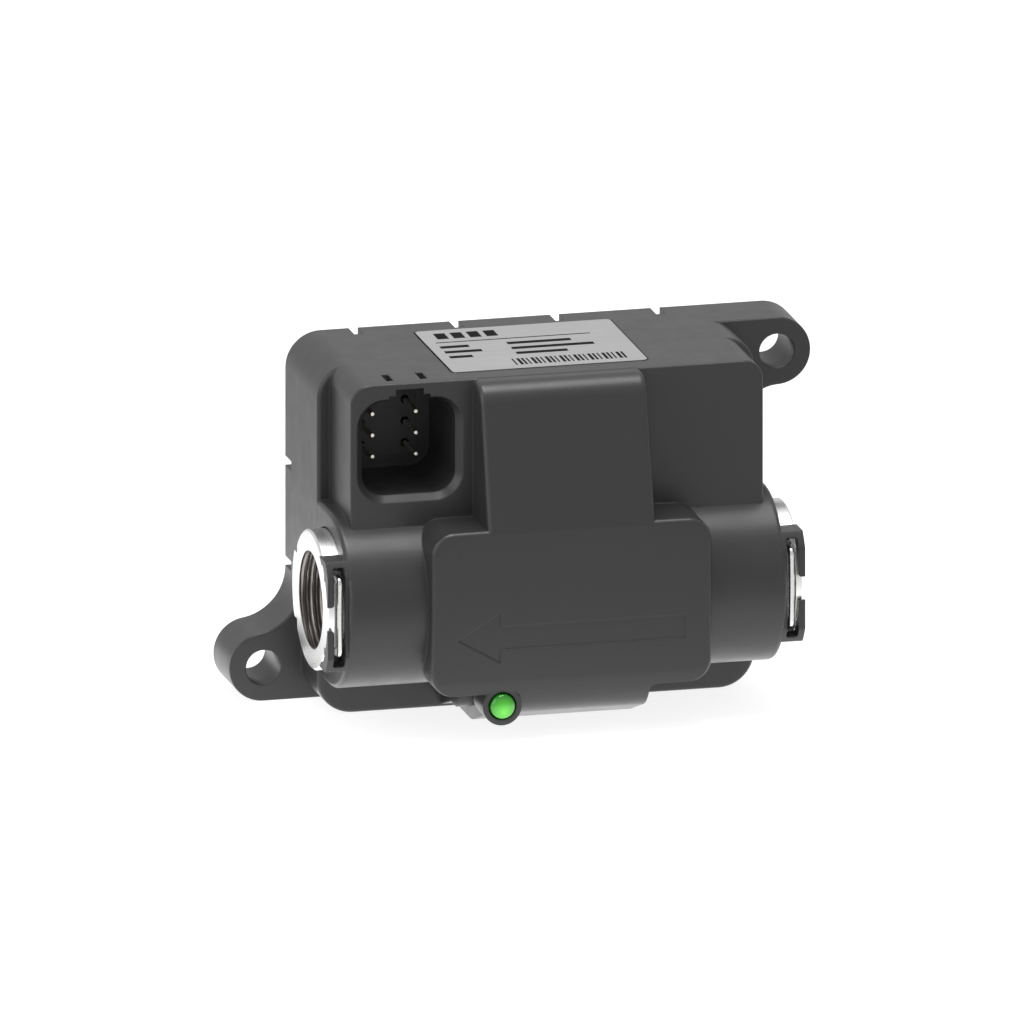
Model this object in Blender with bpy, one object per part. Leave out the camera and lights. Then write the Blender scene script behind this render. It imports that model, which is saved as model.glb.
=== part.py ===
"""Electromagnetic flow meter: a moulded housing on a short pipe with two threaded fittings.

Metres, +Z up. X runs along the pipe and the front of the meter faces -Y. The origin lies on the
rear mounting plane, level with the pipe's axis and midway between the pipe's ends. "Forward" is
the distance in front of the mounting plane, so forward = -y.
"""

import math

import bmesh
import bpy

MM = 0.001

# Clearances and mesh steps
FIT_GAP = 0.3 * MM
OVERLAP = 1.0 * MM
ARC_STEPS = 6
BARREL_SEGMENTS = 64
FITTING_SEGMENTS = 36
COIL_SEGMENTS = 26
SMALL_SEGMENTS = 16
EDGE_STEPS = 2
SEAL_STEPS = 6
CUTTER_LIFT = 0.01 * MM
SHARP_ANGLE = math.radians(32)

# Rear block of the housing
BLOCK_HALF_WIDTH = 42.6 * MM
BLOCK_TOP = 43.3 * MM
BLOCK_BOTTOM = -25.1 * MM
BLOCK_DEPTH = 24.8 * MM
BLOCK_TOP_RADIUS = 6.8 * MM
BLOCK_FOOT_RADIUS = 6.9 * MM
BLOCK_EDGE = 0.7 * MM
BLOCK_WALL = 3.0 * MM
FRONT_WALL = 2.5 * MM

# Ears, one at the upper right and one at the lower left
EAR_OVERHANG = 7.4 * MM
EAR_RADIUS = 6.6 * MM
EAR_HOLE_RADIUS = 3.4 * MM
EAR_THICKNESS = 12.5 * MM
UPPER_EAR_SWEEP = 8.0 * MM
LOWER_EAR_SWEEP = 14.0 * MM

# Front box over the pipe
BOX_STEP = 2.4 * MM
BOX_DEPTH = 41.0 * MM
BOX_RADIUS = 3.8 * MM
BOX_EDGE = 0.5 * MM

# Pipe barrel and its end bores
PIPE_FORWARD = 33.3 * MM
BARREL_RADIUS = 17.0 * MM
BARREL_BORE = 13.65 * MM
BARREL_EDGE = 0.9 * MM

# Front pad, the neck above it and the chin below it
PAD_HALF_WIDTH = 27.3 * MM
PAD_TOP = 16.4 * MM
PAD_BOTTOM = -15.7 * MM
PAD_REACH = 19.4 * MM
PAD_RADIUS = 4.5 * MM
PAD_EDGE = 0.9 * MM
NECK_HALF_WIDTH = 16.3 * MM
NECK_STEP = 0.8 * MM
NECK_TOP_DROP = 0.1 * MM
NECK_HEAD_STAND_OUT = 5.0 * MM
NECK_HEAD_RADIUS = 4.5 * MM
NECK_EDGE = 1.1 * MM
CHIN_HALF_WIDTH = 15.3 * MM
CHIN_DROP = 24.9 * MM
CHIN_RAMP_START = 8.2 * MM
CHIN_RAMP_RISE = 5.8 * MM
CHIN_RAMP_RADIUS = 15.0 * MM
CHIN_RADIUS = 8.0 * MM
CHIN_EDGE = 1.0 * MM
CHAMBER_WALL = 2.2 * MM

# Retaining tabs at the front of each end
TAB_REACH = 3.9 * MM
TAB_RADIUS = 16.9 * MM
TAB_FACE = 15.0 * MM
TAB_INNER_RADIUS = 14.5 * MM
TAB_ARM_RADIUS = 13.0 * MM
TAB_HALF_HEIGHT = 10.8 * MM
TAB_RECESS_HALF_HEIGHT = 9.5 * MM
WINDOW_HALF_HEIGHT = 9.7 * MM
TAB_NOTCH_HALF_HEIGHT = 2.3 * MM

# Connector socket
SOCKET_SIDE_INSET = 11.55 * MM
SOCKET_TOP_INSET = 12.8 * MM
SOCKET_WIDTH = 18.1 * MM
SOCKET_HEIGHT = 18.4 * MM
SOCKET_RADIUS = 4.2 * MM
SOCKET_CHAMFER = 1.3 * MM
SOCKET_DEPTH = 21.0 * MM
SOCKET_FLOOR_WALL = 3.0 * MM
SHROUD_WALL = 1.5 * MM
KEY_WIDTH = 8.0 * MM
KEY_RISE = 1.2 * MM
KEY_TIP_WIDTH = 5.4 * MM
KEY_TIP_RISE = 2.4 * MM
LATCH_SLOT_X = 3.3 * MM
LATCH_SLOT_SETBACK = 4.6 * MM
LATCH_SLOT_WIDTH = 1.3 * MM
LATCH_SLOT_LENGTH = 3.8 * MM

# Connector pins and their carrier
PIN_RADIUS = 0.55 * MM
PIN_COLUMN_PITCH = 8.5 * MM
PIN_ROW_PITCH = 4.2 * MM
PIN_MIDDLE_DROP = 0.4 * MM
PIN_STAND_OUT = 9.0 * MM
PIN_TAIL = 1.5 * MM
CARRIER_HALF_WIDTH = 6.4 * MM
CARRIER_HALF_HEIGHT = 6.6 * MM
CARRIER_FLANGE = 1.2 * MM

# Rear cover, bonded in, and its seal
COVER_THICKNESS = 2.5 * MM
RIM_WALL = 1.9 * MM
GASKET_WIDTH = 0.8 * MM
GASKET_THICKNESS = 1.0 * MM

# Small blind notches round the rear edge
NOTCH_WIDTH = 1.8 * MM
NOTCH_DEPTH = 1.3 * MM
NOTCH_LENGTH = 4.6 * MM
NOTCH_PITCH = 19.6 * MM
NOTCH_SIDE_Z = 8.5 * MM

# Measuring tube
TUBE_BORE = 6.5 * MM
TUBE_WAIST_RADIUS = 8.6 * MM
TUBE_SETBACK = 9.3 * MM
TUBE_SOCKET_DEPTH = 9.6 * MM
SPIGOT_RADIUS = 9.0 * MM

# Pipe fittings and their clips
FITTING_STAND_OUT = 3.5 * MM
FITTING_RADIUS = 13.4 * MM
THREAD_RADIUS = 9.3 * MM
THREAD_LENGTH = 12.0 * MM
THREAD_CHAMFER = 0.3 * MM
FLANGE_THICKNESS = 1.15 * MM
FLANGE_FLAT = 10.3 * MM
LUG_HALF_HEIGHT = 6.46 * MM
LUG_RADIUS = 14.1 * MM
CLIP_THICKNESS = 1.25 * MM
CLIP_FACE = 14.7 * MM
CLIP_BRIDGE = 2.8 * MM
CLIP_HALF_HEIGHT = 7.9 * MM
CLIP_LEG = 1.3 * MM
CLIP_LEG_LENGTH = 3.4 * MM
CLIP_CORNER = 1.5 * MM
SEAL_RING_SECTION = 0.65 * MM
SEAL_GROOVE_WIDTH = 1.9 * MM

# Electrodes
ELECTRODE_RADIUS = 1.0 * MM
ELECTRODE_COLLAR_RADIUS = 2.6 * MM
ELECTRODE_COLLAR = 1.0 * MM
ELECTRODE_TAIL_RADIUS = 0.7 * MM
ELECTRODE_TAIL = 4.0 * MM
ELECTRODE_BOSS_RADIUS = 4.2 * MM
ELECTRODE_BOSS = 3.6 * MM
ELECTRODE_SEAL = 0.7 * MM
NUT_THREAD = 1.2 * MM
NUT_HEAD = 1.4 * MM
NUT_HEAD_RADIUS = 2.9 * MM

# Field coils, poles and yoke
POLE_SHOE_RADIUS = 9.0 * MM
POLE_SHOE = 1.1 * MM
POLE_RADIUS = 4.0 * MM
BOBBIN_HEIGHT = 6.3 * MM
BOBBIN_WALL = 0.7 * MM
BOBBIN_RADIUS = 10.2 * MM
YOKE_THICKNESS = 1.4 * MM
YOKE_HALF_WIDTH = 7.0 * MM
YOKE_BEND = 2.5 * MM
YOKE_REACH = 17.0 * MM
YOKE_LEG = 5.2 * MM
POLE_SCREW_RADIUS = 1.0 * MM
POLE_SCREW_HEAD_RADIUS = 2.2 * MM
POLE_SCREW_HEAD = 1.1 * MM
POLE_SCREW_LENGTH = 5.0 * MM

# Circuit board and what it carries
BOARD_BACK = 8.4 * MM
BOARD_THICKNESS = 1.6 * MM
BOARD_EDGE_GAP = 2.6 * MM
COLUMN_RADIUS = 2.7 * MM
BOARD_SCREW_RADIUS = 1.0 * MM
BOARD_SCREW_HEAD_RADIUS = 2.2 * MM
BOARD_SCREW_HEAD = 1.5 * MM
BOARD_SCREW_LENGTH = 6.5 * MM
COLUMN_SIDE_INSET = 10.6 * MM
COLUMN_TOP_INSET = 7.3 * MM
COLUMN_SOCKET_DROP = 5.7 * MM
COLUMN_FOOT_INSET = 4.8 * MM
CHIP_THICKNESS = 1.2 * MM
PROCESSOR_X = 12.0 * MM
PROCESSOR_Z = 22.0 * MM
PROCESSOR_WIDTH = 10.0 * MM
AMPLIFIER_X = -4.0 * MM
AMPLIFIER_Z = 4.0 * MM
AMPLIFIER_WIDTH = 6.2 * MM
DRIVER_X = 18.0 * MM
DRIVER_Z = -8.0 * MM
DRIVER_WIDTH = 5.0 * MM
CAPACITOR_X = 25.0 * MM
CAPACITOR_Z = 24.0 * MM
CAPACITOR_RADIUS = 3.2 * MM
CAPACITOR_HEIGHT = 5.2 * MM

# Status light
LIGHT_INSET = 1.8 * MM
LIGHT_RISE = 6.9 * MM
LIGHT_BOSS_RADIUS = 3.8 * MM
LIGHT_BOSS_SETBACK = 0.15 * MM
LENS_RADIUS = 2.4 * MM
LENS_LENGTH = 6.0 * MM
LENS_STAND_OUT = 0.9 * MM
LENS_DOME = 1.2 * MM
GUIDE_RADIUS = 1.7 * MM
LED_SIZE = 2.6 * MM
LED_HEIGHT = 1.3 * MM

# Arrow sunk into the pad, along the flow
ARROW_TIP_INSET = 5.0 * MM
ARROW_TAIL_INSET = 5.3 * MM
ARROW_HEAD_LENGTH = 8.3 * MM
ARROW_RISE = 11.1 * MM
ARROW_HEAD_HALF_HEIGHT = 4.85 * MM
ARROW_SHAFT_HALF_HEIGHT = 2.25 * MM
ARROW_DEPTH = 0.2 * MM

# Label on the top face
LABEL_HALF_WIDTH = 19.0 * MM
LABEL_BACK = 6.0 * MM
LABEL_FRONT_INSET = 5.0 * MM
LABEL_RADIUS = 1.0 * MM
LABEL_THICKNESS = 0.2 * MM
LABEL_POCKET = 0.4 * MM

# Places that follow from the sizes above
BOX_HALF_WIDTH = BLOCK_HALF_WIDTH - BOX_STEP
CAVITY_HALF_WIDTH = BLOCK_HALF_WIDTH - BLOCK_WALL
CAVITY_TOP = BLOCK_TOP - BLOCK_WALL
CAVITY_BOTTOM = BLOCK_BOTTOM + BLOCK_WALL
CAVITY_FRONT = BLOCK_DEPTH - FRONT_WALL
EAR_HOLE_X = BLOCK_HALF_WIDTH + EAR_OVERHANG
EAR_HOLE_TOP = BLOCK_TOP - EAR_RADIUS
EAR_HOLE_BOTTOM = BLOCK_BOTTOM + EAR_RADIUS
PAD_FACE = PIPE_FORWARD + PAD_REACH
NECK_HEAD_FORWARD = BOX_DEPTH + NECK_HEAD_STAND_OUT
CHIN_FRONT_DROP = CHIN_DROP - CHIN_RAMP_RISE
CHIN_RAMP_FORWARD = BLOCK_DEPTH + CHIN_RAMP_START
CHAMBER_HALF_WIDTH = BOBBIN_RADIUS + FIT_GAP
COVER_BACK = 0.0
COVER_FRONT = COVER_BACK + COVER_THICKNESS
GASKET_BACK = COVER_FRONT + FIT_GAP
LEDGE_FORWARD = GASKET_BACK + GASKET_THICKNESS + FIT_GAP
BOARD_FRONT = BOARD_BACK + BOARD_THICKNESS
SOCKET_X = -(BOX_HALF_WIDTH - SOCKET_SIDE_INSET)
SOCKET_Z = BLOCK_TOP - SOCKET_TOP_INSET
SOCKET_FLOOR = BOX_DEPTH - SOCKET_DEPTH
SHROUD_BACK = SOCKET_FLOOR - SOCKET_FLOOR_WALL
LATCH_SLOT_FORWARD = BOX_DEPTH - LATCH_SLOT_SETBACK
PIN_MIDDLE = SOCKET_Z - PIN_MIDDLE_DROP
PIN_TIP = SOCKET_FLOOR + PIN_STAND_OUT
COLUMN_TIP = BOARD_FRONT + FIT_GAP
COLUMN_X = CAVITY_HALF_WIDTH - COLUMN_SIDE_INSET
COLUMN_FOOT_Z = CAVITY_BOTTOM + COLUMN_FOOT_INSET
COLUMN_PLACES = (
    (COLUMN_X, CAVITY_TOP - COLUMN_TOP_INSET),
    (-COLUMN_X, SOCKET_Z - SOCKET_HEIGHT / 2 - COLUMN_SOCKET_DROP),
    (COLUMN_X, COLUMN_FOOT_Z),
    (-COLUMN_X, COLUMN_FOOT_Z),
)
POLE_BASE = TUBE_WAIST_RADIUS + FIT_GAP
BOBBIN_BASE = POLE_BASE + POLE_SHOE + FIT_GAP
POLE_TOP = BOBBIN_BASE + BOBBIN_HEIGHT
YOKE_INNER = POLE_TOP + FIT_GAP
YOKE_OUTER = YOKE_INNER + YOKE_THICKNESS
YOKE_BACK = PIPE_FORWARD - YOKE_REACH
YOKE_LEG_END = PIPE_FORWARD + YOKE_LEG
FITTING_FACE = BLOCK_HALF_WIDTH + FITTING_STAND_OUT
GROOVE_OUTER_X = FITTING_FACE - FLANGE_THICKNESS
CLIP_OUTER_X = GROOVE_OUTER_X - FIT_GAP
CLIP_INNER_X = CLIP_OUTER_X - CLIP_THICKNESS
GROOVE_INNER_X = CLIP_INNER_X - FIT_GAP
CLIP_SEAT = CLIP_FACE - CLIP_BRIDGE
CLIP_LEG_END = CLIP_SEAT - CLIP_LEG_LENGTH
TUBE_END_X = BLOCK_HALF_WIDTH - TUBE_SETBACK
TUBE_SOCKET_FLOOR_X = TUBE_END_X - TUBE_SOCKET_DEPTH
SPIGOT_END_X = TUBE_SOCKET_FLOOR_X + FIT_GAP
LIGHT_X = -(CHIN_HALF_WIDTH - LIGHT_INSET)
LIGHT_Z = LIGHT_RISE - CHIN_DROP
LENS_BACK = PAD_FACE + LENS_STAND_OUT - LENS_LENGTH
ARROW_TIP_X = ARROW_TIP_INSET - PAD_HALF_WIDTH
ARROW_HEAD_X = ARROW_TIP_X + ARROW_HEAD_LENGTH
ARROW_TAIL_X = PAD_HALF_WIDTH - ARROW_TAIL_INSET
ARROW_Z = PAD_BOTTOM + ARROW_RISE
LABEL_FRONT = BOX_DEPTH - LABEL_FRONT_INSET


def clear_scene():
    """Remove every object, mesh and material that the file holds."""
    for stock in (bpy.data.objects, bpy.data.meshes, bpy.data.materials):
        for item in list(stock):
            stock.remove(item)


def finish(name, colour, roughness, metallic=0.0, transmission=0.0):
    """Return a Principled material with one colour."""
    material = bpy.data.materials.new(name)
    material.use_nodes = True
    shader = material.node_tree.nodes["Principled BSDF"]
    shader.inputs["Base Color"].default_value = (*colour, 1.0)
    shader.inputs["Roughness"].default_value = roughness
    shader.inputs["Metallic"].default_value = metallic
    shader.inputs["Transmission Weight"].default_value = transmission
    material.diffuse_color = (*colour, 1.0)
    return material


def arc(centre, radius, start, end, steps):
    """Return points on an arc, both ends included."""
    points = []
    for i in range(steps + 1):
        angle = start + (end - start) * i / steps
        points.append((centre[0] + radius * math.cos(angle), centre[1] + radius * math.sin(angle)))
    return points


def rounded(corners, steps=ARC_STEPS):
    """Return an outline with each corner (a, b, radius) rounded by an arc."""
    outline = []
    count = len(corners)
    for i, (a, b, radius) in enumerate(corners):
        if radius <= 0.0:
            outline.append((a, b))
            continue
        before = corners[i - 1]
        after = corners[(i + 1) % count]
        to_before = math.atan2(before[1] - b, before[0] - a)
        to_after = math.atan2(after[1] - b, after[0] - a)
        turn = (to_after - to_before + math.pi) % (2 * math.pi) - math.pi
        half = abs(turn) / 2
        middle = to_before + turn / 2
        reach = radius / math.sin(half)
        centre = (a + reach * math.cos(middle), b + reach * math.sin(middle))
        sweep = math.copysign(math.pi - 2 * half, -turn)
        first = middle + math.pi - sweep / 2
        outline.extend(arc(centre, radius, first, first + sweep, steps))
    return outline


def rectangle(left, right, bottom, top, radius=0.0, steps=ARC_STEPS):
    """Return a rectangle's outline with one corner radius."""
    corners = [(left, bottom, radius), (right, bottom, radius), (right, top, radius), (left, top, radius)]
    return rounded(corners, steps)


def add_object(name, mesh_data, material=None):
    """Close a bmesh into an object of the scene."""
    bmesh.ops.recalc_face_normals(mesh_data, faces=mesh_data.faces)
    mesh = bpy.data.meshes.new(name)
    mesh_data.to_mesh(mesh)
    mesh_data.free()
    piece = bpy.data.objects.new(name, mesh)
    bpy.context.scene.collection.objects.link(piece)
    if material:
        mesh.materials.append(material)
    return piece


def sweep_outline(name, first, second):
    """Return a solid between two rings of points."""
    mesh_data = bmesh.new()
    near = [mesh_data.verts.new(point) for point in first]
    far = [mesh_data.verts.new(point) for point in second]
    mesh_data.faces.new(near)
    mesh_data.faces.new(far)
    for i in range(len(near)):
        j = (i + 1) % len(near)
        mesh_data.faces.new((near[i], near[j], far[j], far[i]))
    return add_object(name, mesh_data)


def prism_forward(name, outline, back, front):
    """Extrude an outline of (x, z) points from one forward distance to another."""
    first = [(x, -back, z) for x, z in outline]
    second = [(x, -front, z) for x, z in outline]
    return sweep_outline(name, first, second)


def prism_along(name, outline, left, right):
    """Extrude an outline of (forward, z) points along the pipe."""
    first = [(left, -forward, z) for forward, z in outline]
    second = [(right, -forward, z) for forward, z in outline]
    return sweep_outline(name, first, second)


def prism_up(name, outline, bottom, top):
    """Extrude an outline of (x, forward) points upward."""
    first = [(x, -forward, bottom) for x, forward in outline]
    second = [(x, -forward, top) for x, forward in outline]
    return sweep_outline(name, first, second)


def block(name, left, right, back, front, bottom, top):
    """Return a plain box."""
    return prism_forward(name, rectangle(left, right, bottom, top), back, front)


def turned(name, profile, place, segments, closed=False):
    """Turn a profile of (along, radius) points; place(along, a, b) gives the point in space.

    An open profile starts and ends on the axis. A closed one makes a ring.
    """
    mesh_data = bmesh.new()
    rings = []
    for along, radius in profile:
        if radius <= 0.0:
            rings.append([mesh_data.verts.new(place(along, 0.0, 0.0))])
            continue
        ring = []
        for i in range(segments):
            angle = 2 * math.pi * i / segments
            ring.append(mesh_data.verts.new(place(along, radius * math.cos(angle), radius * math.sin(angle))))
        rings.append(ring)
    pairs = list(zip(rings, rings[1:]))
    if closed:
        pairs.append((rings[-1], rings[0]))
    for near, far in pairs:
        for i in range(segments):
            j = (i + 1) % segments
            if len(near) == 1:
                mesh_data.faces.new((near[0], far[j], far[i]))
            elif len(far) == 1:
                mesh_data.faces.new((near[i], near[j], far[0]))
            else:
                mesh_data.faces.new((near[i], near[j], far[j], far[i]))
    return add_object(name, mesh_data)


def rod(name, place, start, end, radius, segments):
    """Return a plain round rod along a placed axis."""
    return turned(name, [(start, 0.0), (start, radius), (end, radius), (end, 0.0)], place, segments)


def on_pipe(along, a, b):
    """Place a turned point about the pipe's axis."""
    return (along, -(PIPE_FORWARD + a), b)


def on_coil(along, a, b):
    """Place a turned point about the upright axis through the pipe's middle."""
    return (a, -(PIPE_FORWARD + b), along)


def on_forward(x, z):
    """Return a placing function for an axis that runs forward through (x, z)."""
    return lambda along, a, b: (x + a, -along, z + b)


def round_edges(piece, width, segments, wanted):
    """Round the edges whose two ends satisfy a test."""
    mesh_data = bmesh.new()
    mesh_data.from_mesh(piece.data)
    edges = [edge for edge in mesh_data.edges if all(wanted(vert.co) for vert in edge.verts)]
    bmesh.ops.bevel(
        mesh_data, geom=edges, offset=width, offset_type="OFFSET", segments=segments, profile=0.5,
        affect="EDGES", clamp_overlap=True,
    )
    mesh_data.to_mesh(piece.data)
    mesh_data.free()


def combine(piece, tools, operation):
    """Unite or cut a piece with each tool, one after another."""
    for tool in tools:
        change = piece.modifiers.new(tool.name, "BOOLEAN")
        change.operation = operation
        change.solver = "EXACT"
        change.object = tool
        graph = bpy.context.evaluated_depsgraph_get()
        result = bpy.data.meshes.new_from_object(piece.evaluated_get(graph))
        piece.modifiers.clear()
        old = piece.data
        piece.data = result
        bpy.data.meshes.remove(old)
        bpy.data.objects.remove(tool)
    return piece


def unite(piece, *tools):
    """Unite tools with a piece."""
    return combine(piece, tools, "UNION")


def cut(piece, *tools):
    """Cut tools out of a piece."""
    return combine(piece, tools, "DIFFERENCE")


def complete(piece, material):
    """Clean a piece's mesh, give it its material and shade its round faces smooth."""
    mesh_data = bmesh.new()
    mesh_data.from_mesh(piece.data)
    bmesh.ops.remove_doubles(mesh_data, verts=mesh_data.verts, dist=1e-6)
    bmesh.ops.dissolve_degenerate(mesh_data, edges=mesh_data.edges, dist=1e-6)
    loose = [vert for vert in mesh_data.verts if not vert.link_faces]
    bmesh.ops.delete(mesh_data, geom=loose, context="VERTS")
    bmesh.ops.triangulate(mesh_data, faces=[face for face in mesh_data.faces if len(face.verts) > 4])
    mesh_data.to_mesh(piece.data)
    mesh_data.free()
    piece.data.name = piece.name
    piece.data.materials.clear()
    piece.data.materials.append(material)
    piece.data.shade_smooth()
    piece.data.set_sharp_from_angle(angle=SHARP_ANGLE)
    return piece


def block_outline(inset, steps=ARC_STEPS):
    """Return the rear block's outline, moved inward by an inset."""
    left = -BLOCK_HALF_WIDTH + inset
    right = BLOCK_HALF_WIDTH - inset
    bottom = BLOCK_BOTTOM + inset
    top = BLOCK_TOP - inset
    foot = BLOCK_FOOT_RADIUS - inset
    head = BLOCK_TOP_RADIUS - inset
    corners = [(left, bottom, foot), (right, bottom, foot), (right, top, head), (left, top, head)]
    return rounded(corners, steps)


def ear_outline(hole_z, sweep_radius, side, upright):
    """Return an ear's outline: round about its hole, with a hollow sweep into the block's side.

    side is 1 for the right ear and -1 for the left. upright is 1 where the ear's flat side is the
    top and -1 where it is the bottom.
    """
    rise = math.sqrt((EAR_RADIUS + sweep_radius) ** 2 - (sweep_radius - EAR_OVERHANG) ** 2)
    tangent = math.atan2(-rise, sweep_radius - EAR_OVERHANG)
    outer = arc((EAR_HOLE_X, 0.0), EAR_RADIUS, math.pi / 2, tangent, 3 * ARC_STEPS)
    sweep_centre = (BLOCK_HALF_WIDTH + sweep_radius, -rise)
    inner = arc(sweep_centre, sweep_radius, tangent + math.pi, math.pi, 2 * ARC_STEPS)
    root = BLOCK_HALF_WIDTH - BLOCK_TOP_RADIUS
    outline = [(root, EAR_RADIUS)] + outer + inner[1:] + [(root, -rise)]
    return [(side * x, hole_z + upright * z) for x, z in outline]


def pad_pieces():
    """Return the front pad, the neck and the chin as one solid."""
    pad = prism_forward(
        "pad", rectangle(-PAD_HALF_WIDTH, PAD_HALF_WIDTH, PAD_BOTTOM, PAD_TOP, PAD_RADIUS),
        BLOCK_DEPTH - OVERLAP, PAD_FACE,
    )
    round_edges(pad, PAD_EDGE, EDGE_STEPS, lambda point: point.y < -PAD_FACE + FIT_GAP)
    neck_face = PAD_FACE - NECK_STEP
    neck_top = BLOCK_TOP - NECK_TOP_DROP
    neck = prism_along("neck", rounded([
        (PIPE_FORWARD, 0.0, 0.0), (neck_face, 0.0, 0.0), (neck_face, PAD_TOP, 0.0),
        (NECK_HEAD_FORWARD, neck_top, NECK_HEAD_RADIUS), (PIPE_FORWARD, neck_top, 0.0),
    ]), -NECK_HALF_WIDTH, NECK_HALF_WIDTH)
    chin_root = BLOCK_DEPTH - OVERLAP
    chin = prism_along("chin", rounded([
        (chin_root, 0.0, 0.0), (chin_root, -CHIN_DROP, 0.0), (CHIN_RAMP_FORWARD, -CHIN_DROP, CHIN_RAMP_RADIUS),
        (PAD_FACE, -CHIN_FRONT_DROP, CHIN_RADIUS), (PAD_FACE, 0.0, 0.0),
    ]), -CHIN_HALF_WIDTH, CHIN_HALF_WIDTH)
    for side in (1, -1):
        round_edges(neck, NECK_EDGE, EDGE_STEPS, lambda point: point.x * side > NECK_HALF_WIDTH - FIT_GAP)
        round_edges(chin, CHIN_EDGE, EDGE_STEPS, lambda point: point.x * side > CHIN_HALF_WIDTH - FIT_GAP)
    return unite(pad, neck, chin)


def tab_window(side):
    """Return the space of a tab's window and of the notch that opens it to the tab's end."""
    near = side * GROOVE_INNER_X
    far = side * GROOVE_OUTER_X
    beyond = side * (BLOCK_HALF_WIDTH + TAB_REACH + OVERLAP)
    upper = [
        (near, WINDOW_HALF_HEIGHT), (far, WINDOW_HALF_HEIGHT),
        (far, TAB_NOTCH_HALF_HEIGHT), (beyond, TAB_NOTCH_HALF_HEIGHT),
    ]
    lower = [(x, -z) for x, z in reversed(upper)]
    return prism_forward("tab window", upper + lower, PIPE_FORWARD, PIPE_FORWARD + BARREL_RADIUS + OVERLAP)


def tab(side):
    """Return the windowed retaining tab at the front of one end."""
    centre = (PIPE_FORWARD, 0.0)
    top = math.asin(TAB_HALF_HEIGHT / TAB_RADIUS)
    face = math.acos(TAB_FACE / TAB_RADIUS)
    recess = math.asin(TAB_RECESS_HALF_HEIGHT / TAB_INNER_RADIUS)
    arm_top = PIPE_FORWARD + math.sqrt(TAB_ARM_RADIUS ** 2 - TAB_HALF_HEIGHT ** 2)
    arm_foot = PIPE_FORWARD + math.sqrt(TAB_ARM_RADIUS ** 2 - TAB_RECESS_HALF_HEIGHT ** 2)
    outline = arc(centre, TAB_RADIUS, -top, -face, EDGE_STEPS)
    outline += arc(centre, TAB_RADIUS, face, top, EDGE_STEPS)
    outline += [(arm_top, TAB_HALF_HEIGHT), (arm_foot, TAB_RECESS_HALF_HEIGHT)]
    outline += arc(centre, TAB_INNER_RADIUS, recess, -recess, 2 * ARC_STEPS)
    outline += [(arm_foot, -TAB_RECESS_HALF_HEIGHT), (arm_top, -TAB_HALF_HEIGHT)]
    root = side * (BLOCK_HALF_WIDTH - BARREL_EDGE - OVERLAP)
    end = BLOCK_HALF_WIDTH + TAB_REACH
    return cut(prism_along("tab", outline, root, side * end), tab_window(side))


def barrel():
    """Return the barrel about the pipe, round in front and straight behind, with its two tabs."""
    back = BLOCK_DEPTH - OVERLAP
    outline = [(back, -BARREL_RADIUS)]
    outline += arc((PIPE_FORWARD, 0.0), BARREL_RADIUS, -math.pi / 2, math.pi / 2, BARREL_SEGMENTS // 2)
    outline += [(back, BARREL_RADIUS)]
    piece = prism_along("barrel", outline, -BLOCK_HALF_WIDTH, BLOCK_HALF_WIDTH)
    for side in (1, -1):
        round_edges(piece, BARREL_EDGE, EDGE_STEPS, lambda point: point.x * side > BLOCK_HALF_WIDTH - FIT_GAP)
    return unite(piece, tab(1), tab(-1))


def chamber():
    """Return the space inside the neck, pad and chin that takes the coils."""
    front = PAD_FACE - FRONT_WALL
    floor = -CHIN_DROP + CHAMBER_WALL
    back = YOKE_BACK - OVERLAP
    outline = rounded([
        (back, floor, 0.0), (CHIN_RAMP_FORWARD, floor, 0.0),
        (front, -CHIN_FRONT_DROP + CHAMBER_WALL, CHIN_RADIUS - FRONT_WALL), (front, PAD_TOP - FRONT_WALL, 0.0),
        (NECK_HEAD_FORWARD - FRONT_WALL, CAVITY_TOP, 0.0), (back, CAVITY_TOP, 0.0),
    ])
    return prism_along("chamber", outline, -CHAMBER_HALF_WIDTH, CHAMBER_HALF_WIDTH)


def socket_opening():
    """Return the space of the connector socket with its key and its chamfered mouth."""
    left = SOCKET_X - SOCKET_WIDTH / 2
    right = SOCKET_X + SOCKET_WIDTH / 2
    bottom = SOCKET_Z - SOCKET_HEIGHT / 2
    top = SOCKET_Z + SOCKET_HEIGHT / 2
    outline = rectangle(left, right, bottom, top, SOCKET_RADIUS)
    space = prism_forward("socket", outline, SOCKET_FLOOR, BOX_DEPTH + OVERLAP)
    grown = rectangle(
        left - SOCKET_CHAMFER, right + SOCKET_CHAMFER, bottom - SOCKET_CHAMFER, top + SOCKET_CHAMFER / 2,
        SOCKET_RADIUS + SOCKET_CHAMFER,
    )
    mouth_back = [(x, -(BOX_DEPTH - SOCKET_CHAMFER), z) for x, z in outline]
    mouth_front = [(x, -(BOX_DEPTH + CUTTER_LIFT), z) for x, z in grown]
    mouth = sweep_outline("mouth", mouth_back, mouth_front)
    key = block("key", SOCKET_X - KEY_WIDTH / 2, SOCKET_X + KEY_WIDTH / 2, SOCKET_FLOOR,
                BOX_DEPTH + OVERLAP, SOCKET_Z, top + KEY_RISE)
    key_tip = block("key tip", SOCKET_X - KEY_TIP_WIDTH / 2, SOCKET_X + KEY_TIP_WIDTH / 2, SOCKET_FLOOR,
                    BOX_DEPTH + OVERLAP, SOCKET_Z, top + KEY_TIP_RISE)
    return unite(space, mouth, key, key_tip)


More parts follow.
